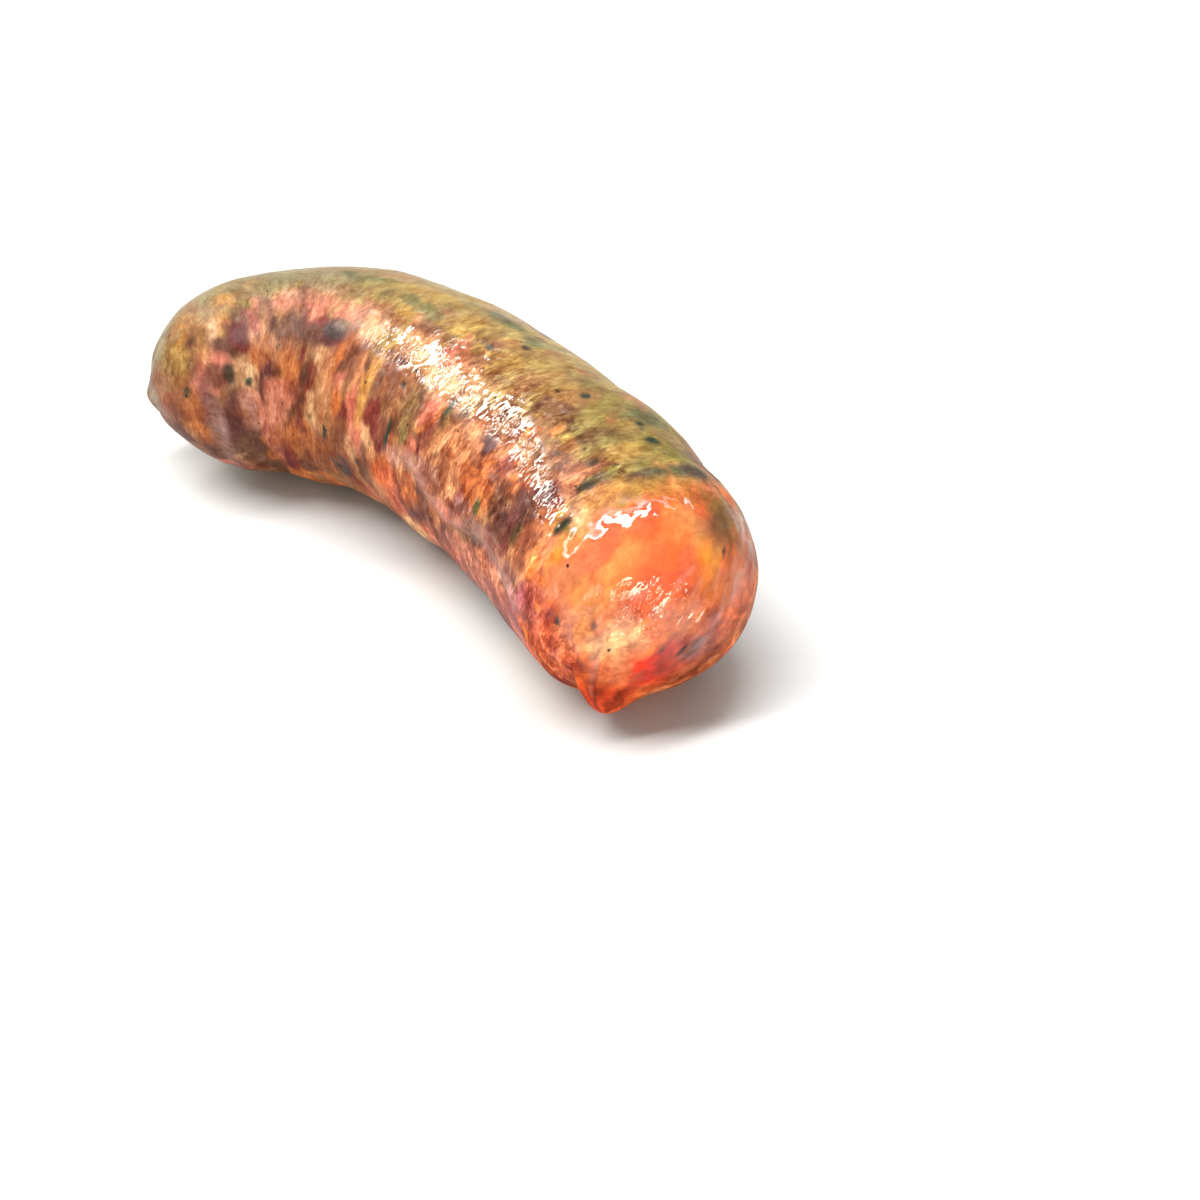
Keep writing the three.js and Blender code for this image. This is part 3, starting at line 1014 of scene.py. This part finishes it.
        # Painted light lifts the low front of the hollow side out of its shade.
        painted_lift = self.painted_light_along.share(along) * self.painted_light_around.share(degrees)
        shade = shade + self.low_front_painted_light * painted_lift[:, None]
        strands = np.cos(self.nub_strands * around + 2.0 * wander) * self.nub_change.share(along)
        shade = shade * (1.0 + self.nub_strand_contrast * strands)[:, None]
        dome = self.dome_change.share(along)[:, None]
        return colours * shade * (1.0 + (np.array(self.dome_shade) - 1.0) * dome)

    def streaks(self, along: Array, around: Array) -> Array:
        """How strongly fine streaks mark the filling, from 0 to 1: least on the taut front dome.

        Args:
            along: Distances from the back tip.
            around: Angles from the crest in radians.

        Returns:
            One share for each place.
        """
        degrees = np.degrees(around)
        dome = self.taut_share - self.low_dome_loss * self.low_dome_change.share(along)
        dome = dome * self.taut_dome.share(along) * (1.0 - self.taut_edge.share(np.abs(degrees)))
        outer = (1.0 - self.outer_crest.share(degrees)) * self.outer_low.share(degrees)
        back = self.taut_back_share + self.taut_back_outer * outer
        back = back * (1.0 - self.taut_back.share(along))
        nub = self.smooth_nub_share * self.smooth_nub.share(along)
        return 1.0 - np.maximum.reduce([dome, back, self.outer_share * outer, nub])


def straightened(along: Array, around: Array, radius: Array) -> Array:
    """Places on the link as if it were straight, with its axis along the first coordinate."""
    return np.stack([along, radius * np.sin(around), radius * np.cos(around)], axis=1)


@dataclass
class CasingRelief:
    """The casing's own fine relief: lumps of meat under it, wrinkles, and its folded strip."""

    form: LinkForm
    seed: int = 7
    lump_height: float = 0.12
    lump_size: float = 5.0
    grain_height: float = 0.025
    grain_size: float = 1.7
    wrinkle_height: float = 0.015
    wrinkle_size: float = 1.1
    wrinkle_shape: Triple = (1.0, 5.0, 5.0)
    strand_height: float = 0.1
    strand_turns: float = 5.0
    strand_reach: float = 2.4
    tip_change: Rise = Rise(0.5, 6.0)
    crinkle_start: Rise = Rise(30.0, 60.0)
    crinkle_stop: Rise = Rise(104.0, 109.0)
    crinkle_side: Rise = Rise(-35.0, 5.0)
    least_crinkle: float = 0.12
    body_crinkle: float = 0.98
    front_crinkle: float = 1.5
    front_side: Lobe = Lobe(8.0, 60.0)
    front_change: Rise = Rise(115.4, 117.0)
    dome_wetness: float = 0.95
    dome_start: Rise = Rise(108.0, 111.5)
    dome_edge: Rise = Rise(50.0, 85.0)
    dome_stop: Rise = Rise(119.6, 121.2)
    nub_change: Rise = Rise(121.2, 123.4)
    tip_dryness: float = 0.75
    least_damp: float = 0.15
    hollow_damp: float = 0.15
    hollow_start: Rise = Rise(42.0, 58.0)
    hollow_side: Lobe = Lobe(25.0, 80.0)
    dome_damp_loss: float = 0.7
    dome_change: Rise = Rise(106.0, 112.0)
    outer_damp: float = 0.32
    outer_side: Lobe = Lobe(-35.0, 60.0)
    outer_stop: Rise = Rise(60.0, 105.0)
    strip_reach: float = 2.2
    crease_casing: Lobe = Lobe(0.8, 2.2)
    crease_share: float = 0.8

    def heights(self, along: Array, around: Array, radius: Array) -> Array:
        """The fine relief at each place.

        Args:
            along: Distances from the back tip.
            around: Angles from the crest in radians.
            radius: Distances from the middle line.

        Returns:
            One height for each place, in millimetres outwards.
        """
        places = straightened(along, around, radius)
        lumps = SmoothNoise(self.seed).layered(places / self.lump_size, 2)
        grain = SmoothNoise(self.seed + 1).layered(places / self.grain_size, 2)
        lengthways = places / (self.wrinkle_size * np.array(self.wrinkle_shape))
        wrinkles = 1.0 - 2.0 * np.abs(SmoothNoise(self.seed + 2).layered(lengthways, 2))
        tips = np.minimum(along, self.form.length - along)
        strands = np.cos(FOLD.offset(along, around) * self.strand_turns)
        strands *= FOLD.cover(along, around, self.strand_reach)
        total = self.lump_height * lumps + self.grain_height * grain + self.wrinkle_height * wrinkles
        return self.tip_change.share(tips) * total + self.strand_height * strands

    def crinkle(self, along: Array, around: Array) -> Array:
        """How crinkled the casing's gloss is: up to 1 on the body, and more where the front is dimpled.

        Args:
            along: Distances from the back tip.
            around: Angles from the crest in radians.

        Returns:
            One share for each place.
        """
        degrees = np.degrees(around)
        body = self.crinkle_start.share(along) * (1.0 - self.crinkle_stop.share(along))
        body *= self.crinkle_side.share(degrees)
        front = self.front_side.share(degrees) * self.front_change.share(along)
        crinkle = np.clip(self.least_crinkle + self.body_crinkle * body, 0.0, 1.0)
        return crinkle + self.front_crinkle * front

    def wetness(self, along: Array, around: Array) -> Array:
        """How wet the casing is, from 0 to 1: dry at the back end, and drier low on the sides.

        Args:
            along: Distances from the back tip.
            around: Angles from the crest in radians.

        Returns:
            One share for each place.
        """
        degrees = np.degrees(around)
        dome = self.dome_start.share(along) * (1.0 - self.dome_edge.share(np.abs(degrees)))
        dome *= 1.0 - self.tip_dryness * self.dome_stop.share(along)
        nub = 1.0 - self.tip_dryness * self.nub_change.share(along)
        hollow = self.hollow_start.share(along) * self.hollow_side.share(degrees)
        damp = self.least_damp + self.hollow_damp * hollow
        damp = damp * (1.0 - self.dome_damp_loss * self.dome_change.share(along))
        damp += self.outer_damp * self.outer_side.share(degrees) * (1.0 - self.outer_stop.share(along))
        wet = np.maximum(self.dome_wetness * dome, WET_BAND.share(along, degrees))
        return np.maximum(damp, wet) * nub

    def membrane(self, along: Array, around: Array) -> Array:
        """How thickly the casing lies: on the folded strip and in the crease.

        Args:
            along: Distances from the back tip.
            around: Angles from the crest in radians.

        Returns:
            One share for each place, from 0 to 1.
        """
        strip = FOLD.cover(along, around, self.strip_reach)
        crease = self.crease_casing.share(CREASE.offset(along, around))
        crease = crease * np.sin(math.pi * CREASE.share(around))
        return np.clip(strip + self.crease_share * crease, 0.0, 1.0)


class Wiring:
    """Adds nodes to one material and joins their sockets."""

    COLOUR_INPUTS = (6, 7)
    COLOUR_OUTPUT = 2

    def __init__(self, material: bpy.types.Material) -> None:
        """Empties the material's node tree and keeps it.

        Args:
            material: The material to wire.
        """
        material.use_nodes = True
        self.tree = material.node_tree
        self.tree.nodes.clear()

    def node(self, kind: str, **settings: object) -> bpy.types.Node:
        """Adds a node.

        Args:
            kind: The node's type.
            settings: Its properties, by name.

        Returns:
            The new node.
        """
        made = self.tree.nodes.new(kind)
        for name, value in settings.items():
            setattr(made, name, value)
        return made

    def put(self, socket: bpy.types.NodeSocket, value: object) -> None:
        """Joins another socket to this one, or sets it to a plain value.

        Args:
            socket: The socket to feed.
            value: Another socket or a plain value.
        """
        if isinstance(value, bpy.types.NodeSocket):
            self.tree.links.new(value, socket)
        else:
            socket.default_value = value

    def mask(self, mask: Mask) -> bpy.types.Node:
        """Reads one of the values that the mesh carries."""
        return self.node("ShaderNodeAttribute", attribute_type="GEOMETRY", attribute_name=mask.value)

    def maths(self, operation: str, first: object, second: object = 0.0) -> bpy.types.NodeSocket:
        """Works out one value from two.

        Args:
            operation: The node's operation.
            first: A socket or a number.
            second: A socket or a number.

        Returns:
            The result's socket.
        """
        made = self.node("ShaderNodeMath", operation=operation)
        self.put(made.inputs[0], first)
        self.put(made.inputs[1], second)
        return made.outputs[0]

    def scaled(self, place: object, scale: Triple) -> bpy.types.NodeSocket:
        """Stretches a place by a factor on each axis.

        Args:
            place: The place's socket.
            scale: The three factors.

        Returns:
            The stretched place's socket.
        """
        made = self.node("ShaderNodeVectorMath", operation="MULTIPLY")
        self.put(made.inputs[0], place)
        self.put(made.inputs[1], scale)
        return made.outputs[0]

    def noise(
        self, place: object, scale: float, detail: float = 2.0, rough: float = 0.5, warp: float = 0.0
    ) -> bpy.types.NodeSocket:
        """Adds noise at a place.

        Args:
            place: The place's socket.
            scale: How many cells there are to a millimetre.
            detail: How many finer layers there are.
            rough: How strong the finer layers are.
            warp: How far the noise is bent out of shape.

        Returns:
            The socket of a value from about 0 to 1.
        """
        made = self.node("ShaderNodeTexNoise", noise_dimensions="3D")
        self.put(made.inputs["Vector"], place)
        self.put(made.inputs["Scale"], scale)
        self.put(made.inputs["Detail"], detail)
        self.put(made.inputs["Roughness"], rough)
        self.put(made.inputs["Distortion"], warp)
        return made.outputs["Fac"]

    def span(
        self, value: object, low: float, high: float, to: tuple[float, float] = (0.0, 1.0)
    ) -> bpy.types.NodeSocket:
        """Maps a value from one range to another, and stops at its ends.

        Args:
            value: The value's socket.
            low: Where the first range starts.
            high: Where the first range ends.
            to: The second range.

        Returns:
            The mapped value's socket.
        """
        made = self.node("ShaderNodeMapRange", interpolation_type="SMOOTHSTEP")
        for socket, number in zip(made.inputs, (value, low, high, *to)):
            self.put(socket, number)
        return made.outputs[0]

    def mix(
        self, share: object, first: object, second: object, blend: str = "MIX"
    ) -> bpy.types.NodeSocket:
        """Mixes two colours.

        Args:
            share: How much of the second colour there is.
            first: A socket or a colour.
            second: A socket or a colour.
            blend: The way of mixing.

        Returns:
            The mixed colour's socket.
        """
        made = self.node("ShaderNodeMix", data_type="RGBA", blend_type=blend, clamp_factor=True)
        self.put(made.inputs["Factor"], share)
        for place, colour in zip(self.COLOUR_INPUTS, (first, second)):
            self.put(made.inputs[place], opaque(colour))
        return made.outputs[self.COLOUR_OUTPUT]

    def bumped(self, height: object, depth: float, strength: float = 1.0) -> bpy.types.NodeSocket:
        """Turns a height from 0 to 1 into a bumped normal.

        Args:
            height: The height's socket.
            depth: What a height of 1 is, in metres.
            strength: How much of the bump shows.

        Returns:
            The normal's socket.
        """
        made = self.node("ShaderNodeBump")
        self.put(made.inputs["Height"], height)
        self.put(made.inputs["Distance"], depth)
        self.put(made.inputs["Strength"], strength)
        return made.outputs[0]


def opaque(colour: object) -> object:
    """Adds a full alpha to a plain colour, and leaves a socket as it is."""
    return (*colour, 1.0) if isinstance(colour, tuple) else colour


@dataclass(frozen=True)
class StreakLayer:
    """One layer of streaks that darken and brighten the filling."""

    size: float
    stretch: float
    detail: float
    dark: Colour
    pale: Colour
    edge: float = 0.17
    roughness: float = 0.55
    warp: float = 0.5


@dataclass(frozen=True)
class VeinLayer:
    """Thin dark or pale veins that run through the filling."""

    size: float
    stretch: float
    width: float
    shade: Colour
    cover: float
    detail: float = 3.0
    roughness: float = 0.6
    warp: float = 0.8


@dataclass(frozen=True)
class CrumbLayer:
    """Crumbs of one kind, strewn evenly through the filling."""

    tint: Tint
    spacing: float
    radius: float
    cover: float
    core: float


@dataclass(frozen=True)
class WetCasingFinish:
    """The finish of filling and casing together: marbled, slightly translucent, wet on top."""

    name: str = "wet_casing_over_meat"
    layers: tuple[StreakLayer, ...] = (
        StreakLayer(2.8, 0.75, 3.0, (0.6, 0.42, 0.36), (1.2, 1.25, 1.25)),
        StreakLayer(1.7, 0.65, 3.0, (0.72, 0.58, 0.52), (1.08, 1.1, 1.1), 0.05),
        StreakLayer(0.8, 0.5, 2.0, (0.78, 0.68, 0.64), (1.14, 1.2, 1.22)),
        StreakLayer(0.36, 0.32, 1.0, (0.79, 0.72, 0.69), (1.16, 1.2, 1.22)),
    )
    veins: tuple[VeinLayer, ...] = (
        VeinLayer(3.4, 0.5, 0.022, (0.5, 0.34, 0.3), 0.7),
        VeinLayer(4.6, 0.45, 0.018, (1.5, 1.6, 1.6), 0.6),
    )
    crumbs: tuple[CrumbLayer, ...] = (
        CrumbLayer(Tint.PEPPER, 4.0, 0.3, 0.9, 0.6),
        CrumbLayer(Tint.HERB, 7.5, 0.75, 0.6, 0.2),
    )
    wrinkle_size: float = 0.4
    wrinkle_stretch: float = 0.3
    wrinkle_depths: tuple[float, float] = (0.12, 0.02)
    worm_size: float = 1.25
    worm_depths: tuple[float, float] = (0.34, 0.06)
    dimple_size: float = 0.5
    dimple_depths: tuple[float, float] = (0.0, 0.3)
    wave_size: float = 3.0
    wave_depth: float = 0.4
    front_crinkle_range: tuple[float, float] = (1.1, 1.4)
    cluster_size: float = 4.0
    cluster_range: tuple[float, float] = (0.42, 0.6)
    cluster_shares: tuple[float, float] = (0.15, 1.0)
    puddle_size: float = 3.6
    puddle_range: tuple[float, float] = (0.4, 0.54)
    puddle_shares: tuple[float, float] = (0.4, 1.0)
    strand_stretch: Triple = (0.25, 1.6, 1.6)
    strand_range: tuple[float, float] = (0.36, 0.6)
    strand_shares: tuple[float, float] = (0.35, 1.0)
    veil: float = 0.6
    pore_density: float = 1.4
    pore_depth: float = 0.12
    pore_strength: float = 0.5
    film_ior: float = 1.8
    film_range: tuple[float, float] = (0.3, 0.9)
    film_roughness: tuple[float, float] = (0.4, 0.05)
    roughness: float = 0.38
    specular_level: float = 0.02
    subsurface: float = 0.25
    subsurface_radius: Triple = (1.0, 0.38, 0.2)
    subsurface_scale: float = 0.55

    def filling(self, wiring: Wiring) -> bpy.types.NodeSocket:
        """Wires the colour of the filling with its streaks, grain and flecks.

        Args:
            wiring: The material's wiring.

        Returns:
            The colour's socket.
        """
        colour = wiring.mask(Mask.TINT).outputs["Color"]
        place = wiring.mask(Mask.STRAIGHT).outputs["Vector"]
        strength = wiring.mask(Mask.STREAKS).outputs["Fac"]
        for layer in self.layers:
            stretched = wiring.scaled(place, (1.0, layer.stretch, layer.stretch))
            wisps = wiring.noise(stretched, 1.0 / layer.size, layer.detail, layer.roughness, layer.warp)
            level = wiring.span(wisps, 0.5 - layer.edge, 0.5 + layer.edge)
            shade = wiring.mix(level, layer.dark, layer.pale)
            colour = wiring.mix(strength, colour, wiring.mix(1.0, colour, shade, "MULTIPLY"))
        for vein in self.veins:
            stretched = wiring.scaled(place, (1.0, vein.stretch, vein.stretch))
            level = wiring.noise(stretched, 1.0 / vein.size, vein.detail, vein.roughness, vein.warp)
            distance = wiring.maths("ABSOLUTE", wiring.maths("SUBTRACT", level, 0.5))
            line = wiring.span(distance, vein.width, 0.0)
            share = wiring.maths("MULTIPLY", line, wiring.maths("MULTIPLY", strength, vein.cover))
            colour = wiring.mix(share, colour, wiring.mix(1.0, colour, vein.shade, "MULTIPLY"))
        return self.flecked(wiring, place, colour)

    def flecked(self, wiring: Wiring, place: object, colour: object) -> bpy.types.NodeSocket:
        """Strews crumbs of pepper and herb through the filling.

        Args:
            wiring: The material's wiring.
            place: The place on the straight link.
            colour: The filling's colour.

        Returns:
            The flecked colour's socket.
        """
        for crumb in self.crumbs:
            cells = wiring.node("ShaderNodeTexVoronoi", feature="F1", voronoi_dimensions="3D")
            wiring.put(cells.inputs["Vector"], place)
            wiring.put(cells.inputs["Scale"], 1.0 / crumb.spacing)
            size = crumb.radius / crumb.spacing
            spot = wiring.span(cells.outputs["Distance"], size, crumb.core * size)
            share = wiring.maths("MULTIPLY", spot, crumb.cover)
            colour = wiring.mix(share, colour, crumb.tint.value)
        return colour

    def veiled(self, wiring: Wiring, colour: object) -> bpy.types.NodeSocket:
        """Lays the thicker casing of the folds over the filling.

        Args:
            wiring: The material's wiring.
            colour: The filling's colour.

        Returns:
            The veiled colour's socket.
        """
        place = wiring.mask(Mask.STRAIGHT).outputs["Vector"]
        stretched = wiring.scaled(place, self.strand_stretch)
        strands = wiring.noise(stretched, 1.0, detail=3.0, rough=0.6, warp=0.5)
        shares = wiring.span(strands, *self.strand_range, self.strand_shares)
        cover = wiring.maths("MULTIPLY", wiring.mask(Mask.MEMBRANE).outputs["Fac"], self.veil)
        return wiring.mix(wiring.maths("MULTIPLY", cover, shares), colour, Tint.LILAC.value)

    def gloss_normal(self, wiring: Wiring) -> bpy.types.NodeSocket:
        """Wires the crinkled normal of the wet film.

        Args:
            wiring: The material's wiring.

        Returns:
            The normal's socket.
        """
        place = wiring.mask(Mask.STRAIGHT).outputs["Vector"]
        round_place = wiring.scaled(place, (1.0, self.wrinkle_stretch, self.wrinkle_stretch))
        wrinkles = wiring.noise(round_place, 1.0 / self.wrinkle_size, detail=0.0, warp=0.3)
        worms = wiring.noise(place, 1.0 / self.worm_size, detail=0.0, warp=0.5)
        dimples = wiring.noise(place, 1.0 / self.dimple_size, detail=0.0, warp=0.5)
        strength = wiring.mask(Mask.CRINKLE).outputs["Fac"]
        crinkle = 0.0
        for noise, depths in (
            (wrinkles, self.wrinkle_depths),
            (worms, self.worm_depths),
            (dimples, self.dimple_depths),
        ):
            depth = wiring.span(strength, *self.front_crinkle_range, depths)
            crinkle = wiring.maths("ADD", crinkle, wiring.maths("MULTIPLY", noise, depth))
        clusters = wiring.noise(place, 1.0 / self.cluster_size, detail=1.0)
        clusters = wiring.span(clusters, *self.cluster_range, self.cluster_shares)
        crinkle = wiring.maths("MULTIPLY", crinkle, wiring.maths("MULTIPLY", clusters, strength))
        waves = wiring.noise(place, 1.0 / self.wave_size, detail=1.0)
        height = wiring.maths("ADD", crinkle, wiring.maths("MULTIPLY", waves, self.wave_depth))
        return wiring.bumped(height, MILLIMETRE)

    def made(self) -> bpy.types.Material:
        """Builds the material.

        Returns:
            The finished material.
        """
        material = bpy.data.materials.new(self.name)
        wiring = Wiring(material)
        shader = wiring.node("ShaderNodeBsdfPrincipled")
        wiring.put(shader.inputs["Base Color"], self.veiled(wiring, self.filling(wiring)))
        plain = {
            "Roughness": self.roughness,
            "Specular IOR Level": self.specular_level,
            "Subsurface Weight": self.subsurface,
            "Subsurface Radius": self.subsurface_radius,
            "Subsurface Scale": self.subsurface_scale * MILLIMETRE,
            "Coat IOR": self.film_ior,
        }
        for name, value in plain.items():
            shader.inputs[name].default_value = value
        wetness = wiring.mask(Mask.WETNESS).outputs["Fac"]
        place = wiring.mask(Mask.STRAIGHT).outputs["Vector"]
        puddles = wiring.noise(place, 1.0 / self.puddle_size, detail=2.0)
        share = wiring.span(puddles, *self.puddle_range, self.puddle_shares)
        wiring.put(shader.inputs["Coat Weight"], wiring.maths("MULTIPLY", wetness, share))
        film = wiring.span(wetness, *self.film_range, self.film_roughness)
        wiring.put(shader.inputs["Coat Roughness"], film)
        pores = wiring.noise(place, self.pore_density, detail=3.0, rough=0.6)
        pores = wiring.bumped(pores, self.pore_depth * MILLIMETRE, self.pore_strength)
        wiring.put(shader.inputs["Normal"], pores)
        wiring.put(shader.inputs["Coat Normal"], self.gloss_normal(wiring))
        output = wiring.node("ShaderNodeOutputMaterial")
        wiring.put(output.inputs["Surface"], shader.outputs[0])
        return material


@dataclass
class SausageLink:
    """The dressed link: its dense mesh, the values painted on it, and its finish."""

    form: LinkForm = field(default_factory=LinkForm)
    finish: WetCasingFinish = field(default_factory=WetCasingFinish)
    rings: int = 300
    segments: int = 328
    relaxed_middle: float = 7.0
    relaxed_reach: float = 6.0
    relaxing_rounds: int = 40
    ring_samples: int = 4001
    name: str = "casing_and_filling"

    def ring_places(self) -> Array:
        """Spaces the rings evenly over the surface from tip to tip.

        Returns:
            Each ring's distance from the back tip, without the tips themselves.
        """
        share = np.linspace(0.0, 1.0, self.ring_samples)
        along = self.form.length * (0.5 - 0.5 * np.cos(math.pi * share))
        radius = self.form.radius_at(along)
        run = np.concatenate([[0.0], np.cumsum(np.hypot(np.diff(along), np.diff(radius)))])
        wanted = np.linspace(0.0, run[-1], self.rings + 2)[1:-1]
        return np.interp(wanted, run, along)

    def faces(self) -> list[tuple[int, ...]]:
        """Joins the rings by quads and closes both tips with triangles.

        Returns:
            The faces as tuples of vertex numbers, turned outwards.
        """
        made = []
        back_tip, front_tip = self.rings * self.segments, self.rings * self.segments + 1
        last = (self.rings - 1) * self.segments
        for i in range(self.segments):
            j = (i + 1) % self.segments
            made.append((back_tip, i, j))
            made.append((front_tip, last + j, last + i))
        for ring in range(self.rings - 1):
            low = ring * self.segments
            high = low + self.segments
            for i in range(self.segments):
                j = (i + 1) % self.segments
                made.append((low + i, high + i, high + j, low + j))
        return made

    def paint(self, mesh: bpy.types.Mesh, along: Array, around: Array, radius: Array) -> None:
        """Writes the values that the material reads.

        Args:
            mesh: The link's mesh.
            along: Each vertex's distance from the back tip.
            around: Each vertex's angle from the crest in radians.
            radius: Each vertex's distance from the middle line, without relief.
        """
        relief = CasingRelief(self.form)
        filling = MeatFilling(self.form)
        colours = np.ones((len(along), 4))
        colours[:, :3] = filling.tints(along, around, radius)
        values = (
            (Mask.TINT, "FLOAT_COLOR", "color", colours),
            (Mask.STRAIGHT, "FLOAT_VECTOR", "vector", straightened(along, around, radius)),
            (Mask.WETNESS, "FLOAT", "value", relief.wetness(along, around)),
            (Mask.STREAKS, "FLOAT", "value", filling.streaks(along, around)),
            (Mask.CRINKLE, "FLOAT", "value", relief.crinkle(along, around)),
            (Mask.MEMBRANE, "FLOAT", "value", relief.membrane(along, around)),
        )
        for mask, kind, member, numbers in values:
            layer = mesh.attributes.new(mask.value, kind, "POINT")
            layer.data.foreach_set(member, np.ascontiguousarray(numbers, dtype=np.float32).ravel())

    def build(self) -> bpy.types.Object:
        """Builds, paints and dresses the link, and puts it where its solid is.

        Returns:
            The link's object.
        """
        rings = self.ring_places()
        turns = np.linspace(-math.pi, math.pi, self.segments, endpoint=False)
        along = np.append(np.repeat(rings, self.segments), [0.0, self.form.length])
        around = np.append(np.tile(turns, self.rings), [0.0, 0.0])
        bare = self.form.radius_at(along)
        relief = self.form.relief(along, around) + CasingRelief(self.form).heights(along, around, bare)
        radius = np.where(bare > 0.0, np.maximum(bare + relief, bare / 2.0), 0.0)
        points = self.relaxed(self.form.surface(along, around, radius), along)
        points = self.seated(points) * MILLIMETRE
        mesh = bpy.data.meshes.new(self.name)
        mesh.from_pydata(points.tolist(), [], self.faces())
        mesh.shade_smooth()
        self.paint(mesh, along, around, bare)
        mesh.materials.append(self.finish.made())
        link = bpy.data.objects.new(self.name, mesh)
        bpy.context.scene.collection.objects.link(link)
        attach(link, "root")
        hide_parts("sausage_link")
        return link

    def relaxed(self, points: Array, along: Array) -> Array:
        """Evens out the front dome from ring to ring, where its lean crowds the rings together.

        Args:
            points: The tips' and rings' points as rows of three.
            along: Each point's distance from the back tip.

        Returns:
            The points, with the front ones evened out.
        """
        body = points[:-2].reshape(self.rings, self.segments, 3)
        share = bump(self.form.length - along[:-2] - self.relaxed_middle, self.relaxed_reach)
        share = 0.5 * share.reshape(self.rings, self.segments, 1)
        for _ in range(self.relaxing_rounds):
            before = np.concatenate([body[:1], body[:-1]])
            after = np.concatenate([body[1:], body[-1:]])
            body = body + share * ((before + after) / 2.0 - body)
        return np.concatenate([body.reshape(-1, 3), points[-2:]])

    def seated(self, points: Array) -> Array:
        """Moves the link level, so that the middle of its box is over the origin.

        Args:
            points: Points as rows of three, in millimetres.

        Returns:
            The moved points.
        """
        middle = (points.min(axis=0) + points.max(axis=0)) / 2.0
        middle[2] = 0.0
        return points - middle


@dataclass(frozen=True)
class StripLight:
    """A soft strip of light between two directions, as the target sees them."""

    name: str
    first: Triple
    last: Triple
    distance: float
    width: float
    power: float
    colour: Colour = (1.0, 1.0, 1.0)

    def build(self, target: Vector) -> bpy.types.Object:
        """Hangs the strip and turns it to its target.

        Args:
            target: The point that it looks at.

        Returns:
            The light's object.
        """
        ends = [target + Vector(way).normalized() * self.distance for way in (self.first, self.last)]
        middle = (ends[0] + ends[1]) / 2.0
        lengthways = (ends[1] - ends[0]).normalized()
        away = (middle - target).normalized()
        away = (away - lengthways * away.dot(lengthways)).normalized()
        data = bpy.data.lights.new(self.name, "AREA")
        data.shape = "RECTANGLE"
        data.size = self.width
        data.size_y = (ends[1] - ends[0]).length
        data.energy = self.power
        data.color = self.colour
        light = bpy.data.objects.new(self.name, data)
        axes = Matrix((lengthways.cross(away), lengthways, away)).transposed()
        light.matrix_world = Matrix.Translation(middle) @ axes.to_4x4()
        bpy.context.scene.collection.objects.link(light)
        return light


@dataclass
class Studio:
    """The pale floor, the soft lights, the bright surroundings and the camera."""

    floor_size: float = 6.0
    floor_colour: Colour = (0.62, 0.63, 0.63)
    floor_roughness: float = 0.35
    surroundings: float = 0.39
    camera_place: Triple = (0.17395, -0.15347, 0.16804)
    camera_look: Triple = (-0.54207, 0.57194, -0.61567)
    lens: float = 54.0
    clip_start: float = 0.01
    clip_end: float = 20.0
    light_target: Triple = (0.0, 0.0, 0.02)
    lights: tuple[StripLight, ...] = (
        StripLight(
            "crest_strip", (-0.66, 0.1, 0.74), (-0.88, -0.3, 0.37), 2.0, 0.38, 26.0, (1.0, 0.95, 0.85)
        ),
        StripLight("long_overhead_strip", (-0.32, -0.8, 0.52), (0.11, 0.78, 0.62), 2.0, 0.12, 10.0),
        StripLight("overhead_strip", (-0.26, -0.6, 0.75), (0.06, 0.25, 0.96), 2.0, 0.21, 42.0),
        StripLight(
            "front_fill", (0.92, -0.06, 0.07), (0.55, -0.88, 0.07), 2.0, 0.42, 31.0, (1.0, 0.88, 0.66)
        ),
    )

    def floor(self) -> bpy.types.Object:
        """Lays the floor.

        Returns:
            The floor's object.
        """
        half = self.floor_size / 2.0
        mesh = bpy.data.meshes.new("floor")
        corners = [(-half, -half, 0.0), (half, -half, 0.0), (half, half, 0.0), (-half, half, 0.0)]
        mesh.from_pydata(corners, [], [(0, 1, 2, 3)])
        material = bpy.data.materials.new("pale_floor")
        wiring = Wiring(material)
        shader = wiring.node("ShaderNodeBsdfPrincipled")
        shader.inputs["Base Color"].default_value = opaque(self.floor_colour)
        shader.inputs["Roughness"].default_value = self.floor_roughness
        output = wiring.node("ShaderNodeOutputMaterial")
        wiring.put(output.inputs["Surface"], shader.outputs[0])
        mesh.materials.append(material)
        floor = bpy.data.objects.new("floor", mesh)
        bpy.context.scene.collection.objects.link(floor)
        return floor

    def surround(self) -> None:
        """Fills the surroundings with even white light."""
        world = bpy.data.worlds.new("white_surroundings")
        world.use_nodes = True
        background = world.node_tree.nodes["Background"]
        background.inputs["Color"].default_value = (1.0, 1.0, 1.0, 1.0)
        background.inputs["Strength"].default_value = self.surroundings
        bpy.context.scene.world = world

    def camera(self) -> bpy.types.Object:
        """Sets the camera at the viewing angle of the photograph.

        Returns:
            The camera's object.
        """
        data = bpy.data.cameras.new("camera")
        data.lens = self.lens
        data.clip_start = self.clip_start
        data.clip_end = self.clip_end
        camera = bpy.data.objects.new("camera", data)
        camera.location = self.camera_place
        camera.rotation_euler = Vector(self.camera_look).to_track_quat("-Z", "Y").to_euler()
        bpy.context.scene.collection.objects.link(camera)
        bpy.context.scene.camera = camera
        return camera

    def build(self) -> None:
        """Sets up the whole studio."""
        self.floor()
        self.surround()
        for light in self.lights:
            light.build(Vector(self.light_target))
        self.camera()
        bpy.context.scene.view_settings.view_transform = "Standard"


def main() -> None:
    """Builds the link and its studio."""
    logging.basicConfig(level=logging.INFO, format="%(name)s: %(message)s")
    link = SausageLink().build()
    LOG.info("%s: %d vertices, %d faces", link.name, len(link.data.vertices), len(link.data.polygons))
    Studio().build()
    LOG.info("studio: floor, lights and camera")


if __name__ == "__main__":
    main()
